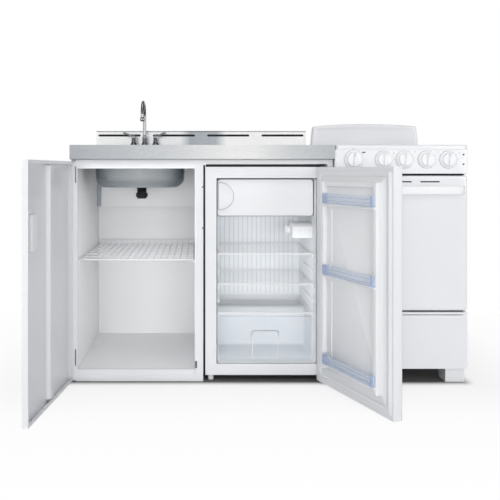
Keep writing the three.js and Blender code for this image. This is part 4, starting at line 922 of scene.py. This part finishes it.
def make_compressor():
    """The sealed can with its welded seam, terminal cover, mounting feet and pipes, in the rear bay."""
    x, y, z = 300, 130, 28.3
    bm = bmesh.new()
    add_lathe(bm, [(0, 9), (40, 9.6), (56, 13), (62.6, 19), (65.6, 29), (67, 60), (67.2, 68), (68, 68.6), (68, 74),
                   (67.2, 74.6), (66, 100), (62, 116), (53, 128), (38, 136.6), (20, 141.4), (0, 143)],
              (x, y, z), steps=56)
    for side in (-1, 1):
        add_box(bm, x + side * 62, x + side * 95, y - 40, y + 40, z + 6, z + 10, 1.4)
    add_box(bm, x - 66, x + 66, y - 40, y + 40, z + 6, z + 10.4, 1.4)
    add_box(bm, x - 24, x + 24, y + 52, y + 67.6, z + 52, z + 98, 3, 3)  # terminal cover
    add_piece(bm, "compressor_can", COMPRESSOR, "compressor", angle=45)
    bm = bmesh.new()
    for spot in ((x + side * 80, y + end * 28, z) for side in (-1, 1) for end in (-1, 1)):
        add_lathe(bm, [(0, 0.2), (9.6, 0.2), (10, 1), (10, 3), (8.4, 3.6), (8.4, 5), (10, 5.6), (10, 11), (9, 12),
                       (0, 12)], spot, steps=24)
    add_piece(bm, "compressor_grommets", BLACK)
    bm = bmesh.new()
    for route in (((50, 30, 108), (66, 40, 122), (96, 44, 128), (122, 44, 140), (134, 40, 168)),
                  ((-56, 22, 96), (-78, 34, 104), (-120, 42, 104), (-160, 42, 120), (-176, 40, 168)),
                  ((58, -10, 60), (86, 4, 56), (112, 20, 60))):
        add_tube(bm, smooth_path([(x + a, y + b, z + c) for a, b, c in route], 8), 3.2, 12)
    add_piece(bm, "compressor_pipes", COPPER)


def make_door_liner():
    """The door's moulded inner face: a pan with a raised dyke round it, ledges and pockets."""
    bm = bmesh.new()
    add_loops(bm, [[(s, depth, z) for s, z in rounded_outline(*row)] for depth, *row in (
        (18.4, 7, 445, 22, 815, 6), (20.8, 7, 445, 22, 815, 6), (21.3, 8, 444, 23, 814, 6),
        (21.3, 36, 402, 70, 782, 10), (24, 38.5, 399.5, 72.5, 779.5, 10))], place=FRIDGE_DOOR_AT)
    ledges = [(66, 392, 21, 48.8, z - 10, z - 0.4, 3, 3) for z in RACKS.values()]
    pockets = [(s, s + 5, 22, 26.5, low, high, 2, 3) for low, high in ((126, 408), (455, 672)) for s in (96, 352)]
    for row in ((40, 62, 21, 37.8, 75, 777, 5, 4), (375, 397.6, 21, 44.6, 75, 777, 6, 4),
                (46, 392, 21, 33.6, 757, 777.6, 5, 4), *ledges, *pockets):
        add_box(bm, *row, FRIDGE_DOOR_AT)
    add_piece(bm, "door_liner_moulded", DOOR_LINER, "fridge_door_liner", angle=50)

    bm = bmesh.new()
    s0, s1, z0, z1 = bounds = (9, 442, 34, 812)
    for inset, depth, radius in ((4.4, 23.6, 1.9), (9.6, 23.3, 1.6), (13, 24.0, 1.2)):
        outline = rounded_outline(s0 + inset, s1 - inset, z0 + inset, z1 - inset, 8)
        add_tube(bm, [(s, depth, z) for s, z in outline], radius, 10, closed=True, place=FRIDGE_DOOR_AT)
    add_stack(bm, "XZ", bounds, lambda inset: max(1.5, 9 - inset * 0.5), [
        (0.6, 21.4), (0, 22.2), (0, 24.2), (0.8, 25.2), (13, 25.2), (13.8, 24.2), (13.8, 22.2), (13.2, 21.4)],
        closed=True, place=FRIDGE_DOOR_AT)
    add_piece(bm, "door_seal", RUBBER, "fridge_door_gasket", angle=50)


def make_rack(node, z):
    """A clear blue guard with rounded ends, a thick end block and a rolled top edge."""
    s0, s1, out, height, wall = 82, 396, 58, 37, 2.4
    top = z + height
    line = [Vector(point) for point in (
        (s0 + 1.2, 26), (s0 + 1.2, 48), (s0 + 3.2, 54.2), (s0 + 9, out - 1.2), (s0 + 60, out - 1.2),
        (s1 - 60, out - 1.2), (s1 - 9, out - 1.2), (s1 - 3.2, 54.6), (s1 - 1.2, 49.5))]
    profile = [(-1, z), (1, z), (1, top - 3), (1.25, top - 1), (0.6, top), (-0.6, top), (-1.25, top - 1), (-1, top - 3)]
    rings = []
    for i, point in enumerate(line):
        ahead = (line[min(i + 1, len(line) - 1)] - line[max(i - 1, 0)]).normalized()
        side = Vector((-ahead.y, ahead.x)) * (wall / 2)
        rings.append([(point.x + side.x * k, min(point.y + side.y * k, out), h) for k, h in profile])
    bm = bmesh.new()
    add_loops(bm, rings, place=FRIDGE_DOOR_AT)
    bands = [(s0 + 44, s1 - 20, out - 1.9, out - 0.1, z + 9 + rise, z + 12 + rise, 0.6, 2) for rise in (0, 14)]
    for row in ((s0 + 2, s1 - 26, 30, out - 1.4, z, z + wall, 0.8, 2),
                (s1 - 27, s1 - 2, 45.3, out - 1.4, z, z + wall, 0.8, 2), *bands):
        add_box(bm, *row, FRIDGE_DOOR_AT)
    add_piece(bm, node + "_guard", BLUE, node, angle=50)
    add_boxes(node + "_end_blocks", BLUE_BLOCK, [
        (start, end, out - 5, out - 0.4, z + 0.4, top - 0.6, 1.6, 3, FRIDGE_DOOR_AT)
        for start, end in ((s0 + 2.6, s0 + 38), (s1 - 16, s1 - 2.6))], "fridge_door")


make_liner()
for shelf, level in SHELVES.items():
    make_glass_shelf(shelf, level)
make_crisper()
make_freezer_door()
make_thermostat()
make_compressor()
# painted shade: dark strips in the gaps round the refrigerator and under it
add_boxes("fridge_gap_shade", DARK, [
    (4.6, 11.4, -272, -252, 24, 838, 1.2), (14, 484, -240, -226, 830.6, 840.4, 1.2),
    (14, 452, -282, -262, 830.6, 840.4, 1.2), (480.4, 483.6, -268, -250, 24, 829, 0.8),
    (52, 440, -262, -258, 19.4, 21.4, 0.6)])
make_door_liner()
for rack, level in RACKS.items():
    make_rack(rack, level)

# ---------------------------------------------------------------- range

RANGE_MIDDLE = 764
RANGE_FRONT = -324
INK = (RANGE_FRONT - 0.02, RANGE_FRONT - 0.12)  # how far printed marks stand out
HANDLE_Z = 741
KNOB_Z = 858
# the centre's x and the skirt's radius
KNOBS = {"oven_knob": (580, 36), "hob_knob_1": (694, 33), "hob_knob_2": (774, 33), "hob_knob_3": (858.5, 33),
         "hob_knob_4": (941, 33)}
BURNER_MARKS = {694: 2, 774: 0, 858.5: 1, 941: 3}  # the burner that each hob knob works, rear pair first
# the centre's x and y, the radius, and how many turns the tube makes
BURNERS = {"coil_front_left": (643, -150, 98, 4.25), "coil_rear_left": (643, 118, 75, 3.25),
           "coil_front_right": (886, -150, 75, 3.25), "coil_rear_right": (886, 118, 75, 3.25)}


def add_rings(bm, profile, steps=72):
    """A turned ring at every burner; the profile is a function of the burner's radius."""
    for x, y, radius, _ in BURNERS.values():
        add_lathe(bm, profile(radius), (x, y, 0), steps=steps)


def make_cooktop():
    """A pressed hob with a rolled front edge and a shallow field; each burner has a hole, a collar and a drip bowl."""
    low, high = 898, 914
    bm = bmesh.new()
    add_stack(bm, "XY", (512, 1016, RANGE_FRONT, 300), lambda inset: max(3, 12 - inset * 0.4), [
        (0.8, low), (0, low + 0.8), (0, high - 5), (0.6, high - 2.6), (2.2, high - 0.8), (5, high), (14, high),
        (17, high - 0.6), (20, high - 2.2), (23, high - 2.6)])
    piece = add_piece(bm, "cooktop_pressed", WHITE, "range_cooktop", angle=35)
    bm = bmesh.new()
    add_rings(bm, lambda r: [(0, 899.4), (r + 8.5, 899.4), (r + 8.5, 930), (0, 930)], 64)
    cutter = bpy.data.objects.new("burner_holes", mesh_of(bm, "burner_holes", 35))
    bpy.context.scene.collection.objects.link(cutter)
    holes = piece.modifiers.new("holes", "BOOLEAN")
    holes.object = cutter
    holes.solver = "EXACT"
    bpy.context.view_layer.update()
    cut_mesh = bpy.data.meshes.new_from_object(piece.evaluated_get(bpy.context.evaluated_depsgraph_get()))
    piece.modifiers.clear()
    piece.data = cut_mesh
    bpy.data.objects.remove(cutter)
    bm = bmesh.new()
    add_rings(bm, lambda r: [(r + 6.4, 909.6), (r + 10.6, 909.6), (r + 11.6, 910.4), (r + 11, 912.4), (r + 9, 913.6),
                             (r + 7, 913), (r + 6.4, 911.4), (r + 6.4, 909.6)])
    add_piece(bm, "burner_collars", WHITE)
    bm = bmesh.new()
    add_rings(bm, lambda r: [(9, 902), (r * 0.35, 902.2), (r * 0.8, 903.4), (r + 1, 906.2), (r + 5.4, 910.8),
                             (r + 8.2, 912.6), (r + 8.2, 913.4), (r + 5.6, 913.6), (r + 4.6, 912), (r, 907.2),
                             (r * 0.8, 904.6), (r * 0.35, 903.2), (9, 903), (9, 902)])
    add_piece(bm, "drip_bowls", PAN_STEEL)


def make_coil(node, x, y, radius, turns):
    """A heating tube: a flat spiral pressed slightly flat on top, on three spokes, with a centre cap."""
    inner, steps = 20, int(turns * 36)
    path = []
    for i in range(steps + 1):
        t = i / steps
        angle = t * turns * 2 * math.pi
        r = inner + (radius - 4 - inner) * t
        path.append((x + r * math.cos(angle), y + r * math.sin(angle), 912))
    bm = bmesh.new()
    add_tube(bm, path, 3.95, 12, flatten=0.96)
    add_piece(bm, node + "_tube", COIL, node, angle=70)
    bm = bmesh.new()
    for degrees in (90, 210, 330):
        add_box(bm, 10, radius + 6, -1.2, 1.2, 903.6, 907.6, 0.4, 1, turned_about((x, y, 0), degrees))
    add_lathe(bm, [(0, 903.6), (12, 903.6), (13, 905), (12.6, 909), (11, 910.4), (0, 910.8)], (x, y, 0), steps=32)
    add_piece(bm, node + "_spokes", PAN_STEEL)


def make_backguard():
    """The raised back with its bowed top, rounded edges, a shallow inset field and the oven's vent slots."""
    half, top_half, corner, bow, foot, radius = 250, 241, 1021, 1033, 914.3, 8

    def outline(inset):
        """The foot, the right edge, the right corner and the bow as far as the middle, then their mirror image."""
        right = [(half - inset, foot), (half - 4 - inset, foot + 55)]
        for a in (math.radians(15 * i) for i in range(7)):
            right.append((top_half - radius - inset + radius * math.cos(a), corner - 7 - inset + radius * math.sin(a)))
        for t in (i / 16 for i in range(1, 8)):
            right.append(((top_half - radius) * (1 - 2 * t), corner + 1 - inset + (bow - corner - 1) * 4 * t * (1 - t)))
        left = [(-u, v) for u, v in reversed(right)]
        return [(RANGE_MIDDLE + u, v) for u, v in (*right, (0, bow - inset), *left)]

    bm = bmesh.new()
    add_loops(bm, [[(u, w, v) for u, v in outline(inset)] for inset, w in (
        (4, 295), (1.2, 294.4), (0, 292), (0, 256), (1, 252.6), (3.6, 250.6), (7, 250), (16, 250), (17.6, 250.9))])
    add_piece(bm, "backguard_bowed", WHITE, "range_backguard", angle=50)
    # painted shade: dark plates stand for the oven's vent slots in the backguard
    add_boxes("oven_vent_slots", DARK, [
        (x - 4.6, x + 4.6, 249.9, 250.9, 932, 934.4, 0.3, 1) for x in (RANGE_MIDDLE - 91 + i * 14 for i in range(14))])


def make_knob(node, x, radius):
    """A skirted dial with a grip bar, a pointer line, and ticks round the skirt."""
    y, z, cap, tall = RANGE_FRONT, KNOB_Z, radius * 0.8, radius * 0.71
    bm = bmesh.new()
    add_dial(bm, "XZ", (x, y, z), 30, (
        (3.8, 12, 0), (3.8, -0.4, 0), (radius - 1.2, -0.35, 0), (radius, -1, 0), (radius, -3, 0),
        (radius - 0.8, -4.2, 0), (cap + 2.4, -5.4, 0), (cap + 0.6, -7, 0.1), (cap - 0.4, -9, 0.7),
        (radius * 0.765, -16, 0.7), (radius * 0.74, -18, 0.4), (radius * 0.68, -19, 0), (radius * 0.2, -19, 0)))
    add_box(bm, x - 4.8, x + 4.8, y - 27, y - 17, z - tall, z + tall, 3.2, 4)
    add_piece(bm, node + "_dial", PLASTIC, node, angle=45)
    ticks = [(radius - 4.6, radius - 1.6, -0.25, 0.25, -0.32, 0.32, 0.08, 1,
              turned_about((x, y - 4.1, z), 30 * i - 60, "Y")) for i in range(11)]
    pointer = (x - 0.8, x + 0.8, y - 27.0, y - 26.2, z + tall * 0.35, z + tall * 0.92, 0.2, 1)
    add_boxes(node + "_marks", DARK, [pointer, *ticks], BODY_OF[node])


def make_handle():
    """The bowed handle: a rounded bar whose ends turn in to the door on two feet."""
    half, back = 237, RANGE_FRONT - 0.3
    bow = [(u * (half - 17), back - 17.4 - 21.5 * (1 - u * u)) for u in (-1 + 2 * i / 32 for i in range(33))]
    feet = [(-half + 12, back - 0.1), (-half + 12, back - 8)]
    line = [*feet, *bow, *((-u, y) for u, y in reversed(feet))]
    rings = []
    for i, (px, py) in enumerate(line):
        ahead = (Vector(line[min(i + 1, len(line) - 1)]) - Vector(line[max(i - 1, 0)])).normalized()
        thick = 4.6 if 2 <= i < len(line) - 2 else 11.6
        ring = []
        for angle in circle(20):
            c, s = math.cos(angle), math.sin(angle)
            out = math.copysign(abs(c) ** 0.55, c) * thick
            rise = math.copysign(abs(s) ** 0.45, s) * 16.4
            ring.append((RANGE_MIDDLE + px - ahead.y * out, min(py + ahead.x * out, back), HANDLE_Z + rise))
        rings.append(ring)
    bm = bmesh.new()
    add_loops(bm, rings)
    add_piece(bm, "oven_handle_bowed", PLASTIC, "oven_door_handle", angle=50)


def make_oven_door():
    """The door with its pressed border and vent slots."""
    bm = bmesh.new()
    add_stack(bm, "XZ", (514, 1014, 280, 796), lambda inset: max(3, 9 - inset * 0.3), [
        (0.6, -302), (0, -302.8), (0, -318), (0.8, -321), (2.6, -323), (6, -324), (15, -324), (17, -323.5)])
    add_piece(bm, "oven_door_pressed", WHITE, "oven_door", angle=50)
    # painted shade: dark plates stand for the door's vent slots
    bm = bmesh.new()
    for middle in (RANGE_MIDDLE - 107, RANGE_MIDDLE, RANGE_MIDDLE + 107):
        add_plate(bm, "XZ", rounded_outline(middle - 37, middle + 37, 770.5, 775.5, 2.4, 4), -323.4, -323.9, 0.1)
    add_piece(bm, "oven_door_slots", DARK, body="oven_door_body")


def make_range_details():
    """The drawer's pull lip, dark strips of painted shade in the gaps, the lamps and the printed marks."""
    add_boxes("drawer_lip", WHITE, [(530, 998, -324.0, -321.6, 262, 266, 0.8)], "storage")
    # painted shade: dark strips in the gaps below and above the oven door and under the range's base
    add_boxes("range_gaps", DARK, [
        (520, 1008, -300.6, -296, 275, 279, 0.5, 1), (518, 1010, -301, -297, 797.6, 803, 0.5, 1),
        (592, 936, -282, -276, 53.2, 56, 0.8)])
    for z in (877, 840):
        bm = bmesh.new()
        add_lathe(bm, [(0, -323), (3.4, -323), (3.4, -324.6), (3.0, -325.6), (1.8, -326.2), (0, -326.4)],
                  (999, 0, z), "XZ", 24)
        add_piece(bm, f"pilot_lamp_{z}", RED_LAMP)
    bm = bmesh.new()
    for outline in ([(574.6, 900.2), (577.4, 900.2), (576, 896.6)],
                    [(611, 883.4), (624, 883.4), (624, 887.2), (611, 887.2)]):
        add_plate(bm, "XZ", outline, *INK, 0.01)
    for x, burner in BURNER_MARKS.items():  # a little square that tells which burner the dial works
        left, low = x + 38 + 4 * (burner % 2), 886 - 4 * (burner // 2)
        add_box(bm, left, left + 2.6, *reversed(INK), low, low + 2.6, 0.01, 1)
    add_piece(bm, "panel_marks", DARK)
    bm = bmesh.new()
    for x, radius in KNOBS.values():  # ticks printed round each dial, and the shadow line it stands in
        # a painted shadow line round the dial's foot, then the printed ticks
        add_lathe(bm, [(radius - 0.6, -324.02), (radius + 0.9, -324.02), (radius + 0.9, -324.1), (radius - 0.6, -324.1),
                       (radius - 0.6, -324.02)], (x, 0, KNOB_Z), "XZ", 96)
        for i in range(12):
            if i != 9 or radius > 34:
                add_box(bm, radius + 1.8, radius + 4.4, -0.1, 0, -0.5, 0.5, 0.01, 1,
                        turned_about((x, INK[0], KNOB_Z), 30 * i, "Y"))
    add_piece(bm, "dial_ticks", GREY_PRINT_AND_SHADE)


def make_oven_rack():
    """Round rods on a wire frame."""
    x0, x1, y0, y1, z = 548, 980, -278, 212, 568.8
    border = rounded_outline(x0 + 2.4, x1 - 2.4, y0 + 2.4, y1 - 2.4, 12, 4)
    bm = bmesh.new()
    add_tube(bm, [(u, v, z) for u, v in border], 2.4, 10, closed=True)
    for x in (x0 + (x1 - x0) * i / 12 for i in range(1, 12)):
        add_tube(bm, [(x, y0 + 2.6, z), (x, y1 - 2.6, z)], 1.7)
    for y in (-120, 50):
        add_tube(bm, [(x0 + 3, y, z), (x1 - 3, y, z)], 2.0)
    add_piece(bm, "oven_rack_rods", PAN_STEEL, "oven_rack", angle=60)


make_cooktop()
for coil, burner in BURNERS.items():
    make_coil(coil, *burner)
make_backguard()
for knob, spot in KNOBS.items():
    make_knob(knob, *spot)
make_oven_door()
make_handle()
make_range_details()
make_oven_rack()

# ---------------------------------------------------------------- cabinet, doors and backs

APRON_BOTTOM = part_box("countertop")[0].z / MM
SINK_DOOR_AT = turned_about((-502, -296, 0), -96)
# the faces that screws stand on: the cabinet's flanks and back, the range's cover and its box, the refrigerator
FLANK_X, CABINET_BACK_Y, RANGE_BACK_Y, BOX_Y, FRIDGE_BACK_Y = 505.999, 313.99, 301.5, 305.9, 201.1
# heads of screws, as radius and height
FLAT_HEAD = [(0, 0), (3.6, 0), (3.4, 0.5), (2.4, 1.0), (0, 1.2)]
SMALL_HEAD = [(0, 0), (3.6, 0), (3.4, 0.8), (2.4, 1.4), (0, 1.6)]
LARGE_HEAD = [(0, 0), (4, 0), (3.8, 0.8), (2.6, 1.5), (0, 1.8)]
HINGE_HEAD = [(0, 0), (3.4, 0), (3.2, 1.2), (1.8, 1.9), (0, 1.6)]


def add_heads(bm, profile, plane, spots, steps=20):
    for spot in spots:
        add_lathe(bm, profile, spot, plane, steps)


def make_pull():
    """A moulded cup with a rounded flange outside and a soft bottom, seen from inside as a raised box."""
    bm = bmesh.new()
    add_stack(bm, "XZ", (390, 445, 551, 675), None, [(-grow, depth - 17, corner) for grow, corner, depth in (
        (-9, 6, 12.5), (-4.6, 9, 11.6), (-2.6, 10, 8), (-2.4, 10, 1), (-1.6, 10.6, -1), (0.4, 12, -2.1),
        (3, 14, -2.3), (5.8, 17, -1.9), (7, 18, -0.9), (6.8, 18, -0.35), (0, 12, -0.35), (0, 12, 11),
        (-1, 11, 13.4), (-3.6, 9, 14.8), (-9, 6, 15))], place=SINK_DOOR_AT)
    add_piece(bm, "door_pull_cup", PLASTIC, "sink_door_pull", angle=50)


def make_cabinet_details():
    """Plugs, hinge leaves, a grey strip of painted shade at the chase in the corner, a dark line of painted shade under
    the apron, the closing strip and the screws.
    """
    bm = bmesh.new()
    add_heads(bm, [(0, -0.75), (1.8, -0.7), (2.5, -0.3), (2.6, 0.05), (0, 0.05)], "XZ",
              [(1.2, -292, z) for z in (752, 593)])
    add_piece(bm, "divider_plugs", BLACK)
    add_boxes("hinge_leaves", ZINC, [
        (x0, x1, -292.75, -292.02, z0, z1, 0.3, 1)
        for x0, x1, z0, z1 in ((-28, -19.6, 51, 79), (-492.5, -487.5, 768, 832), (-492.5, -487.5, 60, 124))])
    # painted shade: a grey strip where the chase in the corner lies in shadow
    add_boxes("pipe_chase_shadow", CHASE_SHADE_GREY, [(-485.2, -468, 252.6, 256, 648, 858, 0.4, 1)])
    # painted shade: a dark line under the apron's edge, where shade falls between apron and frame
    add_boxes("apron_shade_line", DARK,
              [(-507, 507, -321.6, -318, APRON_BOTTOM - 1.6, APRON_BOTTOM + 0.4, 0.3, 1)])
    add_boxes("gap_trim", WHITE, [(508.3, 511.7, -322.6, -290, 62, 896, 0.6)])
    bm = bmesh.new()
    for side, head in ((-1, [(radius, -height) for radius, height in reversed(FLAT_HEAD)]), (1, FLAT_HEAD)):
        add_heads(bm, head, "YZ", [(side * FLANK_X, y, z) for z in (120, 430, 740) for y in (-230, 280)])
    add_heads(bm, LARGE_HEAD, "XZ", [(x, CABINET_BACK_Y, z) for z in (30, 300, 560, 820) for x in (-470, -258, -48)
                                     if 250 < z or x != -258])
    add_piece(bm, "cabinet_screws", ZINC)
    bm = bmesh.new()
    add_heads(bm, HINGE_HEAD, "XY", [(x, -262, 833.2) for x in (461, 473)])
    add_piece(bm, "hinge_screws", ZINC)


def add_louvres(bm, x0, x1, z0, y, pitch=18, count=7):
    for z in (z0 + i * pitch for i in range(count)):
        rings = []
        for w, inset, lift in ((0, 0, 0), (0.9, 1.2, 0.4), (2.2, 2.6, 2.2), (2.4, 3.0, 4.6)):
            outline = rounded_outline(x0 + inset, x1 - inset, z + lift * 0.6, z + 8 - inset * 0.3, 1.6, 4)
            rings.append([(u, y + w, v + lift * 0.2) for u, v in outline])
        add_loops(bm, rings)


def make_backs():
    """What the back shows: the refrigerator's pressed sheet, and the range's cover with its louvres."""
    bm = bmesh.new()
    add_plate(bm, "XZ", rounded_outline(28, 464, 214, 814, 14), 200.0, 201.2, 0.5)
    for x in (70, 180, 290, 400):  # pressed swages
        outline = rounded_outline(x - 20, x + 20, 250, 780, 18, 8)
        add_loops(bm, [[(x + (u - x) * k, 200.8 + rise, 515 + (v - 515) * (1 - (1 - k) * 0.08)) for u, v in outline]
                       for k, rise in ((1, 0), (0.9, 1.4), (0.72, 2.0))])
    add_piece(bm, "fridge_back_sheet", INTERIOR)
    bm = bmesh.new()
    add_plate(bm, "XZ", rounded_outline(560, 968, 330, 820, 10), 300.0, 301.6, 0.6)
    add_louvres(bm, 620, 908, 640, 301.2)
    add_plate(bm, "XZ", rounded_outline(790, 900, 180, 300, 8), 300.0, 306, 1.6)
    add_piece(bm, "range_back_cover", ZINC)
    bm = bmesh.new()
    add_heads(bm, LARGE_HEAD, "XZ", [(x, RANGE_BACK_Y, z) for z in (345, 805) for x in (572, 956, 764)])
    add_heads(bm, SMALL_HEAD, "XZ", [(x, BOX_Y, z) for z in (190, 290) for x in (800, 890)])
    add_heads(bm, SMALL_HEAD, "XZ", [(x, FRIDGE_BACK_Y, z) for x in (36, 456) for z in (222, 806)])
    add_piece(bm, "back_screws", PAN_STEEL)
    bm = bmesh.new()
    add_heads(bm, [(0, 0), (15, 0), (14.4, 2.4), (10, 2.8), (9.6, 1.6), (0, 1.6)], "XZ", [(845, BOX_Y, 205)], 32)
    add_piece(bm, "supply_knockout", BLACK)


make_pull()
make_cabinet_details()
make_backs()

carry_over()
